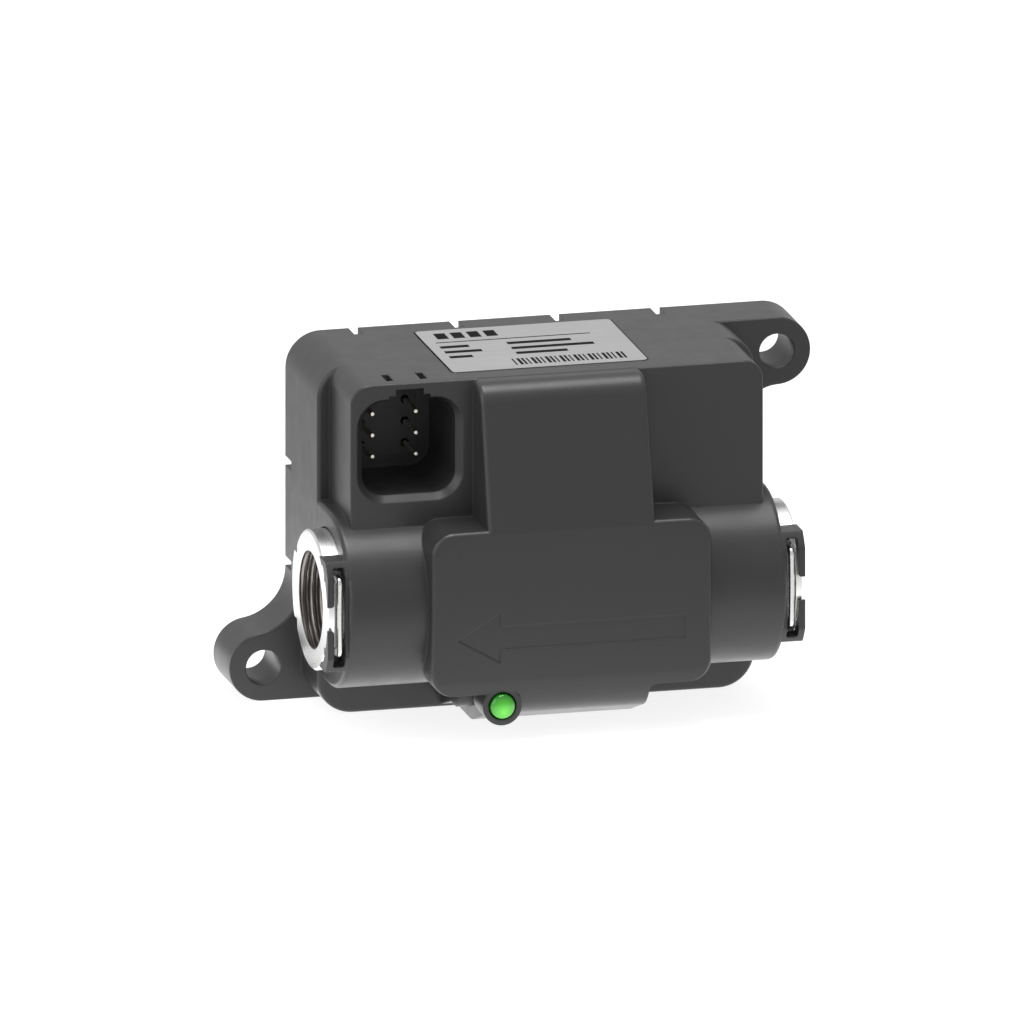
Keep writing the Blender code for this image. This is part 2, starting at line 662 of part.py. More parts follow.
def rear_notches():
    """Return the cutters of the small blind notches round the rear edge."""
    cutters = []
    half = NOTCH_WIDTH / 2
    for step in (-1.5, -0.5, 0.5, 1.5):
        x = step * NOTCH_PITCH
        cutters.append(block("top notch", x - half, x + half, -OVERLAP, NOTCH_LENGTH,
                             BLOCK_TOP - NOTCH_DEPTH, BLOCK_TOP + OVERLAP))
        cutters.append(block("foot notch", x - half, x + half, -OVERLAP, NOTCH_LENGTH,
                             BLOCK_BOTTOM - OVERLAP, BLOCK_BOTTOM + NOTCH_DEPTH))
    for step in (-0.5, 0.5):
        z = NOTCH_SIDE_Z + step * NOTCH_PITCH
        for side in (-1, 1):
            x = side * BLOCK_HALF_WIDTH
            left, right = sorted((x - side * NOTCH_DEPTH, x + side * OVERLAP))
            cutters.append(block("side notch", left, right, -OVERLAP, NOTCH_LENGTH, z - half, z + half))
    return cutters


def flow_arrow():
    """Return the space of the arrow that is sunk into the pad."""
    upper = [
        (ARROW_TIP_X, 0.0), (ARROW_HEAD_X, ARROW_HEAD_HALF_HEIGHT),
        (ARROW_HEAD_X, ARROW_SHAFT_HALF_HEIGHT), (ARROW_TAIL_X, ARROW_SHAFT_HALF_HEIGHT),
    ]
    lower = [(x, -z) for x, z in reversed(upper[1:])]
    outline = [(x, ARROW_Z + z) for x, z in upper + lower]
    return prism_forward("arrow", outline, PAD_FACE - ARROW_DEPTH, PAD_FACE + OVERLAP)


def housing_shell():
    """Return the housing's outer form with the rear cavity in it."""
    shell = prism_forward("main_housing", block_outline(0.0), 0.0, BLOCK_DEPTH)
    round_edges(shell, BLOCK_EDGE, EDGE_STEPS, lambda point: point.y < -BLOCK_DEPTH + FIT_GAP)
    upper_ear = ear_outline(EAR_HOLE_TOP, UPPER_EAR_SWEEP, 1, 1)
    lower_ear = ear_outline(EAR_HOLE_BOTTOM, LOWER_EAR_SWEEP, -1, -1)
    box = prism_forward("front box", rounded([
        (-BOX_HALF_WIDTH, 0.0, 0.0), (BOX_HALF_WIDTH, 0.0, 0.0),
        (BOX_HALF_WIDTH, BLOCK_TOP, BOX_RADIUS), (-BOX_HALF_WIDTH, BLOCK_TOP, BOX_RADIUS),
    ]), BLOCK_DEPTH - OVERLAP, BOX_DEPTH)
    round_edges(box, BOX_EDGE, EDGE_STEPS, lambda point: point.y < -BOX_DEPTH + FIT_GAP)
    unite(shell, prism_forward("upper ear", upper_ear, 0.0, EAR_THICKNESS),
          prism_forward("lower ear", lower_ear, 0.0, EAR_THICKNESS), box, pad_pieces())
    cavity = prism_forward("cavity", block_outline(BLOCK_WALL), -OVERLAP, CAVITY_FRONT)
    mouth = prism_forward("mouth", block_outline(RIM_WALL), -OVERLAP, LEDGE_FORWARD)
    pocket = prism_forward("pocket", rectangle(
        CHAMBER_HALF_WIDTH + CHAMBER_WALL, BOX_HALF_WIDTH - FRONT_WALL, BARREL_RADIUS, CAVITY_TOP,
        2 * OVERLAP,
    ), CAVITY_FRONT - OVERLAP, BOX_DEPTH - FRONT_WALL)
    return cut(shell, cavity, mouth, pocket)


def main_housing(material):
    """Return the housing moulding: block, ears, box, barrel, pad, chin, tabs and socket."""
    housing = housing_shell()
    shroud_left = -CAVITY_HALF_WIDTH - OVERLAP
    shroud_right = SOCKET_X + SOCKET_WIDTH / 2 + SHROUD_WALL
    shroud_bottom = SOCKET_Z - SOCKET_HEIGHT / 2 - SHROUD_WALL
    shroud_top = CAVITY_TOP + OVERLAP
    shroud = prism_forward("shroud", rounded([
        (shroud_left, shroud_bottom, 0.0), (shroud_right, shroud_bottom, 0.0),
        (shroud_right, shroud_top, 0.0),
        (shroud_left, shroud_top, BLOCK_TOP_RADIUS - BLOCK_WALL + OVERLAP),
    ]), SHROUD_BACK, BLOCK_DEPTH)
    unite(housing, barrel(), shroud)
    for x, z in COLUMN_PLACES:
        in_pocket = x > CHAMBER_HALF_WIDTH and z > BARREL_RADIUS
        root = BOX_DEPTH - FRONT_WALL if in_pocket else CAVITY_FRONT
        unite(housing, rod("column", on_forward(x, z), COLUMN_TIP, root + OVERLAP, COLUMN_RADIUS,
                           SMALL_SEGMENTS))
    light_boss = rod("light boss", on_forward(LIGHT_X, LIGHT_Z), BLOCK_DEPTH - OVERLAP,
                     PAD_FACE - LIGHT_BOSS_SETBACK, LIGHT_BOSS_RADIUS, 2 * SMALL_SEGMENTS)
    unite(housing, light_boss)
    cut(housing, chamber(), socket_opening())
    for side in (-1, 1):
        inner = side * (CHAMBER_HALF_WIDTH - OVERLAP)
        outer = side * (BLOCK_HALF_WIDTH + TAB_REACH + OVERLAP)
        cut(housing, rod("bore", on_pipe, inner, outer, BARREL_BORE, BARREL_SEGMENTS))
    cut_details(housing)
    return complete(housing, material)


def cut_details(housing):
    """Cut the small openings of the housing."""
    for x, z in ((EAR_HOLE_X, EAR_HOLE_TOP), (-EAR_HOLE_X, EAR_HOLE_BOTTOM)):
        cut(housing, rod("ear hole", on_forward(x, z), -OVERLAP, EAR_THICKNESS + OVERLAP,
                         EAR_HOLE_RADIUS, 2 * SMALL_SEGMENTS))
    for x, z in COLUMN_PLACES:
        cut(housing, rod("screw hole", on_forward(x, z), COLUMN_TIP - OVERLAP,
                         BOARD_BACK + BOARD_SCREW_LENGTH + OVERLAP,
                         BOARD_SCREW_RADIUS + FIT_GAP, SMALL_SEGMENTS))
    carrier_window = block(
        "carrier window", SOCKET_X - CARRIER_HALF_WIDTH - FIT_GAP, SOCKET_X + CARRIER_HALF_WIDTH + FIT_GAP,
        SHROUD_BACK - OVERLAP, SOCKET_FLOOR + OVERLAP,
        PIN_MIDDLE - CARRIER_HALF_HEIGHT - FIT_GAP, PIN_MIDDLE + CARRIER_HALF_HEIGHT + FIT_GAP,
    )
    lens_seat = LENS_BACK - FIT_GAP
    light_hole = turned("light hole", [
        (BOARD_FRONT, 0.0), (BOARD_FRONT, GUIDE_RADIUS + FIT_GAP), (lens_seat, GUIDE_RADIUS + FIT_GAP),
        (lens_seat, LENS_RADIUS + FIT_GAP), (PAD_FACE + OVERLAP, LENS_RADIUS + FIT_GAP),
        (PAD_FACE + OVERLAP, 0.0),
    ], on_forward(LIGHT_X, LIGHT_Z), 2 * SMALL_SEGMENTS)
    label_pocket = prism_up("label pocket", rectangle(
        -LABEL_HALF_WIDTH - FIT_GAP, LABEL_HALF_WIDTH + FIT_GAP, LABEL_BACK - FIT_GAP, LABEL_FRONT + FIT_GAP,
        LABEL_RADIUS + FIT_GAP,
    ), BLOCK_TOP - LABEL_POCKET, BLOCK_TOP + OVERLAP)
    cut(housing, carrier_window, light_hole, label_pocket)
    for offset in (-LATCH_SLOT_X, LATCH_SLOT_X):
        left = SOCKET_X + offset - LATCH_SLOT_WIDTH / 2
        back = LATCH_SLOT_FORWARD - LATCH_SLOT_LENGTH / 2
        cut(housing, block("latch slot", left, left + LATCH_SLOT_WIDTH, back, back + LATCH_SLOT_LENGTH,
                           SOCKET_Z, BLOCK_TOP + OVERLAP))
    cut(housing, flow_arrow(), *rear_notches())


def pin_places():
    """Return the (x, z) place of each connector pin, row by row."""
    places = []
    for row in (1, 0, -1):
        for column in (-0.5, 0.5):
            places.append((SOCKET_X + column * PIN_COLUMN_PITCH, PIN_MIDDLE + row * PIN_ROW_PITCH))
    return places


def rear_cover(material):
    """Return the rear cover, bonded flush into the housing's mouth."""
    outline = block_outline(RIM_WALL + FIT_GAP)
    return complete(prism_forward("rear_cover", outline, COVER_BACK, COVER_FRONT), material)


def cover_gasket(material):
    """Return the flat rubber loop between the rear cover and its ledge."""
    outer = RIM_WALL + FIT_GAP
    gasket = prism_forward("cover_gasket", block_outline(outer), GASKET_BACK, GASKET_BACK + GASKET_THICKNESS)
    inside = prism_forward("inside", block_outline(outer + GASKET_WIDTH), GASKET_BACK - OVERLAP,
                           GASKET_BACK + GASKET_THICKNESS + OVERLAP)
    return complete(cut(gasket, inside), material)


def electrode_place(side):
    """Return a placing function along an electrode's axis, from the pipe's axis outward."""
    return lambda along, a, b: (a, -(PIPE_FORWARD + side * along), b)


def measuring_tube(material):
    """Return the measuring tube: sockets at both ends, a waist and two electrode bosses."""
    end_radius = BARREL_BORE - FIT_GAP
    shoulder = CHAMBER_HALF_WIDTH
    socket_radius = SPIGOT_RADIUS + FIT_GAP
    right = [
        (shoulder, TUBE_WAIST_RADIUS), (shoulder, end_radius), (TUBE_END_X, end_radius),
        (TUBE_END_X, socket_radius), (TUBE_SOCKET_FLOOR_X, socket_radius), (TUBE_SOCKET_FLOOR_X, TUBE_BORE),
    ]
    left = [(-x, radius) for x, radius in reversed(right)]
    tube = turned("measuring_tube", right + left, on_pipe, FITTING_SEGMENTS, closed=True)
    floor = TUBE_WAIST_RADIUS
    for side in (1, -1):
        place = electrode_place(side)
        top = TUBE_WAIST_RADIUS + ELECTRODE_BOSS
        unite(tube, rod("boss", place, (TUBE_BORE + TUBE_WAIST_RADIUS) / 2, top, ELECTRODE_BOSS_RADIUS,
                        2 * SMALL_SEGMENTS))
        cut(tube, rod("pocket", place, floor, top + OVERLAP, ELECTRODE_COLLAR_RADIUS + FIT_GAP,
                      2 * SMALL_SEGMENTS))
        cut(tube, rod("electrode hole", place, TUBE_BORE / 2, floor + OVERLAP, ELECTRODE_RADIUS + FIT_GAP,
                      SMALL_SEGMENTS))
    return complete(tube, material)


def fork_outline(gap):
    """Return the outline of the clip's fork, grown by a gap; a grown one is open at the front."""
    front = PIPE_FORWARD + CLIP_FACE + gap
    seat = PIPE_FORWARD + CLIP_SEAT - gap
    leg_end = PIPE_FORWARD + CLIP_LEG_END - gap
    outer = CLIP_HALF_HEIGHT + gap
    inner = CLIP_HALF_HEIGHT - CLIP_LEG - gap
    corner = CLIP_CORNER if gap == 0.0 else 0.0
    return rounded([
        (leg_end, -outer, 0.0), (front, -outer, corner), (front, outer, corner), (leg_end, outer, 0.0),
        (leg_end, inner, 0.0), (seat, inner, 0.0), (seat, -inner, 0.0), (leg_end, -inner, 0.0),
    ])


def fitting(name, side, material):
    """Return a pipe fitting: spigot, seal groove, clip slot, lugged flange and tapped bore."""
    groove_middle = (SPIGOT_END_X + TUBE_END_X) / 2
    groove_floor = SPIGOT_RADIUS - 2 * SEAL_RING_SECTION - FIT_GAP
    shoulder = TUBE_END_X + FIT_GAP
    profile = [
        (SPIGOT_END_X, TUBE_BORE), (SPIGOT_END_X, SPIGOT_RADIUS),
        (groove_middle - SEAL_GROOVE_WIDTH / 2, SPIGOT_RADIUS),
        (groove_middle - SEAL_GROOVE_WIDTH / 2, groove_floor),
        (groove_middle + SEAL_GROOVE_WIDTH / 2, groove_floor),
        (groove_middle + SEAL_GROOVE_WIDTH / 2, SPIGOT_RADIUS),
        (shoulder, SPIGOT_RADIUS), (shoulder, FITTING_RADIUS),
        (FITTING_FACE, FITTING_RADIUS), (FITTING_FACE, THREAD_RADIUS + THREAD_CHAMFER),
        (FITTING_FACE - THREAD_CHAMFER, THREAD_RADIUS), (FITTING_FACE - THREAD_LENGTH, THREAD_RADIUS),
        (FITTING_FACE - THREAD_LENGTH, TUBE_BORE),
    ]
    placed = [(side * along, radius) for along, radius in profile]
    piece = turned(name, placed, on_pipe, FITTING_SEGMENTS, closed=True)
    reach = math.asin(LUG_HALF_HEIGHT / LUG_RADIUS)
    centre = (PIPE_FORWARD, 0.0)
    flat_half = math.sqrt(FITTING_RADIUS ** 2 - FLANGE_FLAT ** 2) + OVERLAP
    for facing in (1, -1):
        flat = PIPE_FORWARD + facing * FLANGE_FLAT
        beyond = PIPE_FORWARD + facing * (LUG_RADIUS + OVERLAP)
        left, right = sorted((side * CLIP_OUTER_X, side * (FITTING_FACE + OVERLAP)))
        cut(piece, block("flat", left, right, flat, beyond, -flat_half, flat_half))
        turn = 0.0 if facing > 0 else math.pi
        outline = arc(centre, LUG_RADIUS, turn - reach, turn + reach, ARC_STEPS)
        root = flat - facing * FIT_GAP
        outline += [(root, outline[-1][1]), (root, outline[0][1])]
        unite(piece, prism_along("lug", outline, side * CLIP_OUTER_X, side * FITTING_FACE))
    slot = prism_along("slot", fork_outline(FIT_GAP), side * GROOVE_INNER_X, side * GROOVE_OUTER_X)
    return complete(cut(piece, slot), material)


def seal_ring(name, side, material):
    """Return the round seal ring in a fitting's groove."""
    middle = side * (SPIGOT_END_X + TUBE_END_X) / 2
    profile = arc((middle, SPIGOT_RADIUS - SEAL_RING_SECTION), SEAL_RING_SECTION, 0.0, 2 * math.pi,
                  SEAL_STEPS)[:-1]
    return complete(turned(name, profile, on_pipe, FITTING_SEGMENTS, closed=True), material)


def clip(name, side, material):
    """Return the spring clip: a fork pushed in from the front, its bridge seen in the tab's window."""
    outline = fork_outline(0.0)
    return complete(prism_along(name, outline, side * CLIP_INNER_X, side * CLIP_OUTER_X), material)


def electrode(name, side, material):
    """Return an electrode: contact pin, collar and tail."""
    place = electrode_place(side)
    collar = TUBE_WAIST_RADIUS + 2 * FIT_GAP + ELECTRODE_SEAL
    collar_top = collar + ELECTRODE_COLLAR
    tip = TUBE_BORE
    profile = [
        (tip, 0.0), (tip, ELECTRODE_RADIUS), (collar, ELECTRODE_RADIUS), (collar, ELECTRODE_COLLAR_RADIUS),
        (collar_top, ELECTRODE_COLLAR_RADIUS), (collar_top, ELECTRODE_TAIL_RADIUS),
        (collar_top + ELECTRODE_TAIL, ELECTRODE_TAIL_RADIUS), (collar_top + ELECTRODE_TAIL, 0.0),
    ]
    return complete(turned(name, profile, place, SMALL_SEGMENTS), material)


def electrode_seal(name, side, material):
    """Return the flat seal under an electrode's collar."""
    base = TUBE_WAIST_RADIUS + FIT_GAP
    inner = ELECTRODE_RADIUS + FIT_GAP
    top = base + ELECTRODE_SEAL
    profile = [(base, inner), (base, ELECTRODE_COLLAR_RADIUS), (top, ELECTRODE_COLLAR_RADIUS), (top, inner)]
    return complete(turned(name, profile, electrode_place(side), SMALL_SEGMENTS, closed=True), material)


def electrode_nut(name, side, material):
    """Return the gland nut that holds an electrode: a threaded foot and a hexagonal head."""
    place = electrode_place(side)
    foot = TUBE_WAIST_RADIUS + 3 * FIT_GAP + ELECTRODE_SEAL + ELECTRODE_COLLAR
    head = max(foot + NUT_THREAD, TUBE_WAIST_RADIUS + ELECTRODE_BOSS + FIT_GAP)
    top = head + NUT_HEAD
    nut = rod(name, place, foot, head + OVERLAP / 2, ELECTRODE_COLLAR_RADIUS, 2 * SMALL_SEGMENTS)
    unite(nut, rod("head", place, head, top, NUT_HEAD_RADIUS, 6))
    hole_radius = ELECTRODE_TAIL_RADIUS + FIT_GAP
    cut(nut, rod("hole", place, foot - OVERLAP, top + OVERLAP, hole_radius, SMALL_SEGMENTS))
    return complete(nut, material)


def pole(name, side, material):
    """Return a pole: a shoe on the measuring tube and a round core, tapped at its end."""
    profile = [
        (POLE_BASE, 0.0), (POLE_BASE, POLE_SHOE_RADIUS), (POLE_BASE + POLE_SHOE, POLE_SHOE_RADIUS),
        (POLE_BASE + POLE_SHOE, POLE_RADIUS), (POLE_TOP, POLE_RADIUS), (POLE_TOP, 0.0),
    ]
    placed = [(side * along, radius) for along, radius in profile]
    piece = turned(name, placed, on_coil, COIL_SEGMENTS)
    hole_end = YOKE_OUTER - POLE_SCREW_LENGTH
    cut(piece, rod("hole", on_coil, side * hole_end, side * (POLE_TOP + OVERLAP),
                   POLE_SCREW_RADIUS + FIT_GAP, SMALL_SEGMENTS))
    return complete(piece, material)


def bobbin(name, side, material):
    """Return the spool that carries a coil."""
    inner = POLE_RADIUS + FIT_GAP
    hub = inner + BOBBIN_WALL
    top = BOBBIN_BASE + BOBBIN_HEIGHT
    profile = [
        (BOBBIN_BASE, inner), (BOBBIN_BASE, BOBBIN_RADIUS), (BOBBIN_BASE + BOBBIN_WALL, BOBBIN_RADIUS),
        (BOBBIN_BASE + BOBBIN_WALL, hub), (top - BOBBIN_WALL, hub), (top - BOBBIN_WALL, BOBBIN_RADIUS),
        (top, BOBBIN_RADIUS), (top, inner),
    ]
    placed = [(side * along, radius) for along, radius in profile]
    return complete(turned(name, placed, on_coil, COIL_SEGMENTS, closed=True), material)


def coil(name, side, material):
    """Return a coil's winding, between the flanges of its bobbin."""
    inner = POLE_RADIUS + BOBBIN_WALL + 2 * FIT_GAP
    outer = BOBBIN_RADIUS - FIT_GAP
    base = BOBBIN_BASE + BOBBIN_WALL + FIT_GAP
    top = BOBBIN_BASE + BOBBIN_HEIGHT - BOBBIN_WALL - FIT_GAP
    profile = [(base, inner), (base, outer), (top, outer), (top, inner)]
    placed = [(side * along, radius) for along, radius in profile]
    return complete(turned(name, placed, on_coil, COIL_SEGMENTS, closed=True), material)


def yoke(material):
    """Return the bent steel strap that joins the two poles round the back of the pipe."""
    inner_bend = YOKE_BEND - YOKE_THICKNESS
    inside = YOKE_BACK + YOKE_THICKNESS
    outline = rounded([
        (YOKE_LEG_END, YOKE_INNER, 0.0), (YOKE_LEG_END, YOKE_OUTER, 0.0), (YOKE_BACK, YOKE_OUTER, YOKE_BEND),
        (YOKE_BACK, -YOKE_OUTER, YOKE_BEND), (YOKE_LEG_END, -YOKE_OUTER, 0.0),
        (YOKE_LEG_END, -YOKE_INNER, 0.0), (inside, -YOKE_INNER, inner_bend), (inside, YOKE_INNER, inner_bend),
    ])
    piece = prism_along("yoke", outline, -YOKE_HALF_WIDTH, YOKE_HALF_WIDTH)
    for side in (1, -1):
        cut(piece, rod("hole", on_coil, side * (YOKE_INNER - OVERLAP), side * (YOKE_OUTER + OVERLAP),
                       POLE_SCREW_RADIUS + FIT_GAP, SMALL_SEGMENTS))
    return complete(piece, material)


def pole_screw(name, side, material):
    """Return a screw that holds the yoke to a pole."""
    head = YOKE_OUTER + FIT_GAP
    tip = head - POLE_SCREW_LENGTH + FIT_GAP
    profile = [
        (tip, 0.0), (tip, POLE_SCREW_RADIUS), (head, POLE_SCREW_RADIUS), (head, POLE_SCREW_HEAD_RADIUS),
        (head + POLE_SCREW_HEAD, POLE_SCREW_HEAD_RADIUS), (head + POLE_SCREW_HEAD, 0.0),
    ]
    placed = [(side * along, radius) for along, radius in profile]
    return complete(turned(name, placed, on_coil, SMALL_SEGMENTS), material)


def circuit_board(material):
    """Return the circuit board with its screw holes and pin holes."""
    edge = BOARD_EDGE_GAP
    board = prism_forward("circuit_board", rectangle(
        -CAVITY_HALF_WIDTH + edge, CAVITY_HALF_WIDTH - edge, CAVITY_BOTTOM + edge, CAVITY_TOP - edge,
        BLOCK_TOP_RADIUS - BLOCK_WALL - edge,
    ), BOARD_BACK, BOARD_FRONT)
    holes = [(x, z, BOARD_SCREW_RADIUS) for x, z in COLUMN_PLACES]
    holes += [(x, z, PIN_RADIUS) for x, z in pin_places()]
    for x, z, radius in holes:
        cut(board, rod("hole", on_forward(x, z), BOARD_BACK - OVERLAP, BOARD_FRONT + OVERLAP,
                       radius + FIT_GAP, SMALL_SEGMENTS // 2))
    return complete(board, material)


def board_screws(material):
    """Make the screws that hold the board on the housing's columns."""
    head = BOARD_BACK - FIT_GAP
    tip = head + BOARD_SCREW_LENGTH
    profile = [
        (head - BOARD_SCREW_HEAD, 0.0), (head - BOARD_SCREW_HEAD, BOARD_SCREW_HEAD_RADIUS),
        (head, BOARD_SCREW_HEAD_RADIUS), (head, BOARD_SCREW_RADIUS), (tip, BOARD_SCREW_RADIUS), (tip, 0.0),
    ]
    for number, (x, z) in enumerate(COLUMN_PLACES, start=1):
        complete(turned(f"board_screw_{number}", profile, on_forward(x, z), SMALL_SEGMENTS // 2), material)


def chip(name, x, z, width, material):
    """Return a flat square chip on the board's rear face."""
    front = BOARD_BACK - FIT_GAP
    half = width / 2
    outline = rectangle(x - half, x + half, z - half, z + half)
    return complete(prism_forward(name, outline, front - CHIP_THICKNESS, front), material)


def coil_capacitor(material):
    """Return the round capacitor on the board's front face."""
    base = BOARD_FRONT + FIT_GAP
    return complete(rod("coil_capacitor", on_forward(CAPACITOR_X, CAPACITOR_Z), base, base + CAPACITOR_HEIGHT,
                        CAPACITOR_RADIUS, COIL_SEGMENTS), material)


def pin_carrier(material):
    """Return the insulating block that closes the socket's floor and carries the pins."""
    left = SOCKET_X - CARRIER_HALF_WIDTH
    right = SOCKET_X + CARRIER_HALF_WIDTH
    bottom = PIN_MIDDLE - CARRIER_HALF_HEIGHT
    top = PIN_MIDDLE + CARRIER_HALF_HEIGHT
    flange_front = SHROUD_BACK - FIT_GAP
    carrier = block("pin_carrier", left, right, flange_front - CARRIER_FLANGE, SOCKET_FLOOR, bottom, top)
    flange = block("flange", left - CARRIER_FLANGE, right + CARRIER_FLANGE, flange_front - CARRIER_FLANGE,
                   flange_front, bottom - CARRIER_FLANGE, top + CARRIER_FLANGE)
    unite(carrier, flange)
    for x, z in pin_places():
        cut(carrier, rod("hole", on_forward(x, z), SHROUD_BACK - 3 * OVERLAP, SOCKET_FLOOR + OVERLAP,
                         PIN_RADIUS + FIT_GAP, SMALL_SEGMENTS // 2))
    return complete(carrier, material)


def connector_pins(material):
    """Make the six pins, numbered row by row from the top left."""
    tail = BOARD_BACK - PIN_TAIL
    for number, (x, z) in enumerate(pin_places(), start=1):
        profile = [
            (tail, 0.0), (tail, PIN_RADIUS), (PIN_TIP - PIN_RADIUS, PIN_RADIUS),
            (PIN_TIP, PIN_RADIUS / 2), (PIN_TIP, 0.0),
        ]
        complete(turned(f"connector_pin_{number}", profile, on_forward(x, z), SMALL_SEGMENTS // 2), material)


def light_guide(material):
    """Return the light guide: a domed lens at the front and a thin rod back to the board."""
    tail = BOARD_FRONT + 2 * FIT_GAP + LED_HEIGHT
    dome = PAD_FACE + LENS_STAND_OUT
    shoulder = dome - LENS_DOME
    profile = [
        (tail, 0.0), (tail, GUIDE_RADIUS), (LENS_BACK, GUIDE_RADIUS), (LENS_BACK, LENS_RADIUS),
        (shoulder, LENS_RADIUS),
    ]
    for step in range(1, ARC_STEPS):
        angle = math.pi / 2 * step / ARC_STEPS
        profile.append((shoulder + LENS_DOME * math.sin(angle), LENS_RADIUS * math.cos(angle)))
    profile.append((dome, 0.0))
    return complete(turned("light_guide", profile, on_forward(LIGHT_X, LIGHT_Z), COIL_SEGMENTS), material)


def status_led(material):
    """Return the small lamp on the board behind the light guide."""
    base = BOARD_FRONT + FIT_GAP
    half = LED_SIZE / 2
    outline = rectangle(LIGHT_X - half, LIGHT_X + half, LIGHT_Z - half, LIGHT_Z + half)
    return complete(prism_forward("status_led", outline, base, base + LED_HEIGHT), material)


def top_label(material):
    """Return the thin metal label in its pocket on the top face."""
    base = BLOCK_TOP - LABEL_POCKET + FIT_GAP
    outline = rectangle(-LABEL_HALF_WIDTH, LABEL_HALF_WIDTH, LABEL_BACK, LABEL_FRONT, LABEL_RADIUS)
    return complete(prism_up("top_label", outline, base, base + LABEL_THICKNESS), material)


def main():
    """Build the flow meter piece by piece."""
    clear_scene()
    moulding = finish("black_moulding", (0.055, 0.055, 0.056), 0.5)
    liner = finish("pale_moulding", (0.75, 0.73, 0.66), 0.45)
    rubber = finish("seal_rubber", (0.02, 0.02, 0.02), 0.8)
    stainless = finish("stainless_steel", (0.72, 0.71, 0.69), 0.28, metallic=1.0)
    copper = finish("enamelled_copper", (0.62, 0.27, 0.12), 0.35, metallic=1.0)
    iron = finish("soft_iron", (0.4, 0.4, 0.41), 0.45, metallic=1.0)
    laminate = finish("green_laminate", (0.03, 0.2, 0.08), 0.5)
    package = finish("chip_package", (0.03, 0.03, 0.032), 0.55)
    gold = finish("pin_plating", (0.8, 0.62, 0.3), 0.25, metallic=1.0)
    lens = finish("green_lens", (0.1, 0.6, 0.12), 0.15, transmission=0.4)
    foil = finish("label_foil", (0.7, 0.7, 0.7), 0.35, metallic=0.9)

    main_housing(moulding)
    rear_cover(moulding)
    cover_gasket(rubber)
    measuring_tube(liner)
    for end, side in (("inlet", 1), ("outlet", -1)):
        fitting(f"{end}_fitting", side, stainless)
        seal_ring(f"{end}_seal_ring", side, rubber)
        clip(f"{end}_clip", side, stainless)
    for facing, side in (("front", 1), ("rear", -1)):
        electrode(f"{facing}_electrode", side, stainless)
        electrode_seal(f"{facing}_electrode_seal", side, rubber)
        electrode_nut(f"{facing}_electrode_nut", side, stainless)
    for level, side in (("upper", 1), ("lower", -1)):
        pole(f"{level}_pole", side, iron)
        bobbin(f"{level}_bobbin", side, liner)
        coil(f"{level}_coil", side, copper)
        pole_screw(f"{level}_pole_screw", side, stainless)
    yoke(iron)
    circuit_board(laminate)
    board_screws(stainless)
    chip("processor_chip", PROCESSOR_X, PROCESSOR_Z, PROCESSOR_WIDTH, package)
    chip("amplifier_chip", AMPLIFIER_X, AMPLIFIER_Z, AMPLIFIER_WIDTH, package)
    chip("driver_chip", DRIVER_X, DRIVER_Z, DRIVER_WIDTH, package)
    coil_capacitor(foil)
    pin_carrier(package)
    connector_pins(gold)
    light_guide(lens)
    status_led(liner)
    top_label(foil)


main()
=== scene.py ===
"""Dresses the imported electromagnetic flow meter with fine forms, finishes, studio light and a camera.

Every length is in metres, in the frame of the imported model: X along the pipe, -Y to the front and +Z up.
The origin lies on the rear mounting plane, level with the pipe's axis. "Forward" means -Y.
"""

import logging
import math
from collections.abc import Callable, Iterable, Sequence
from dataclasses import dataclass, field
from enum import Enum

import bmesh
import bpy
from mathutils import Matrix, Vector


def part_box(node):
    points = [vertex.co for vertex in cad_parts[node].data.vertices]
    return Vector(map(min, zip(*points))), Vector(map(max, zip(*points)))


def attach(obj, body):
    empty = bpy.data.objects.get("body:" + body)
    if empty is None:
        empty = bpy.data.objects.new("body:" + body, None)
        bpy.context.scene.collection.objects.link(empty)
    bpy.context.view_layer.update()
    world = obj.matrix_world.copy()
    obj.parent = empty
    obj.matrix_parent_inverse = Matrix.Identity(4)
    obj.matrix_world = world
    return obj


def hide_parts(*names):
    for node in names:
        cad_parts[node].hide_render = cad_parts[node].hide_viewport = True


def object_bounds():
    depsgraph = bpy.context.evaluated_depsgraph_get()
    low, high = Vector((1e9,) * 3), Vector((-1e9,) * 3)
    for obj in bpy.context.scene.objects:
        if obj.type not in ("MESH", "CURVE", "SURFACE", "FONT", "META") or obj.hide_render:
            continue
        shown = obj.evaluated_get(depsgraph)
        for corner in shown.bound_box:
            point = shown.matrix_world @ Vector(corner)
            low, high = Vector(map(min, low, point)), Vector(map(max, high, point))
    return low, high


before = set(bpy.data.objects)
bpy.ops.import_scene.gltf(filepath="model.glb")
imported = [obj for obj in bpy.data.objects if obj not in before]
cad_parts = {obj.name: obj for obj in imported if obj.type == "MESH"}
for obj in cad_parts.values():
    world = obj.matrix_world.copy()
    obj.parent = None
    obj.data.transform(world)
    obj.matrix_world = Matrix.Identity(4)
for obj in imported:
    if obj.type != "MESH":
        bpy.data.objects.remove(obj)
CAD_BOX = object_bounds()

LOG = logging.getLogger("flow_meter")
MM = 0.001
BODY = "root"
FIT_GAP = 0.3 * MM

# How far tools reach past a surface, how far faces stay out of one plane, and how near counts as touching
OVERLAP = 1.0 * MM
SLIVER = 0.01 * MM
TOLERANCE = 0.03 * MM
WELD = 0.001 * MM

# Fineness of round forms
CORNER_STEPS = 12
EDGE_STEPS = 4
ROUND_SEGMENTS = 144
SMALL_SEGMENTS = 40
SMOOTH_ANGLE = math.radians(28)

# Sizes that several pieces share
PIPE_FORWARD = 33.3 * MM
BLOCK_TOP = 43.3 * MM
BOX_FACE = 41.0 * MM
PAD_FACE = 52.7 * MM
LIGHT_X = -13.5 * MM
LIGHT_Z = -18.0 * MM

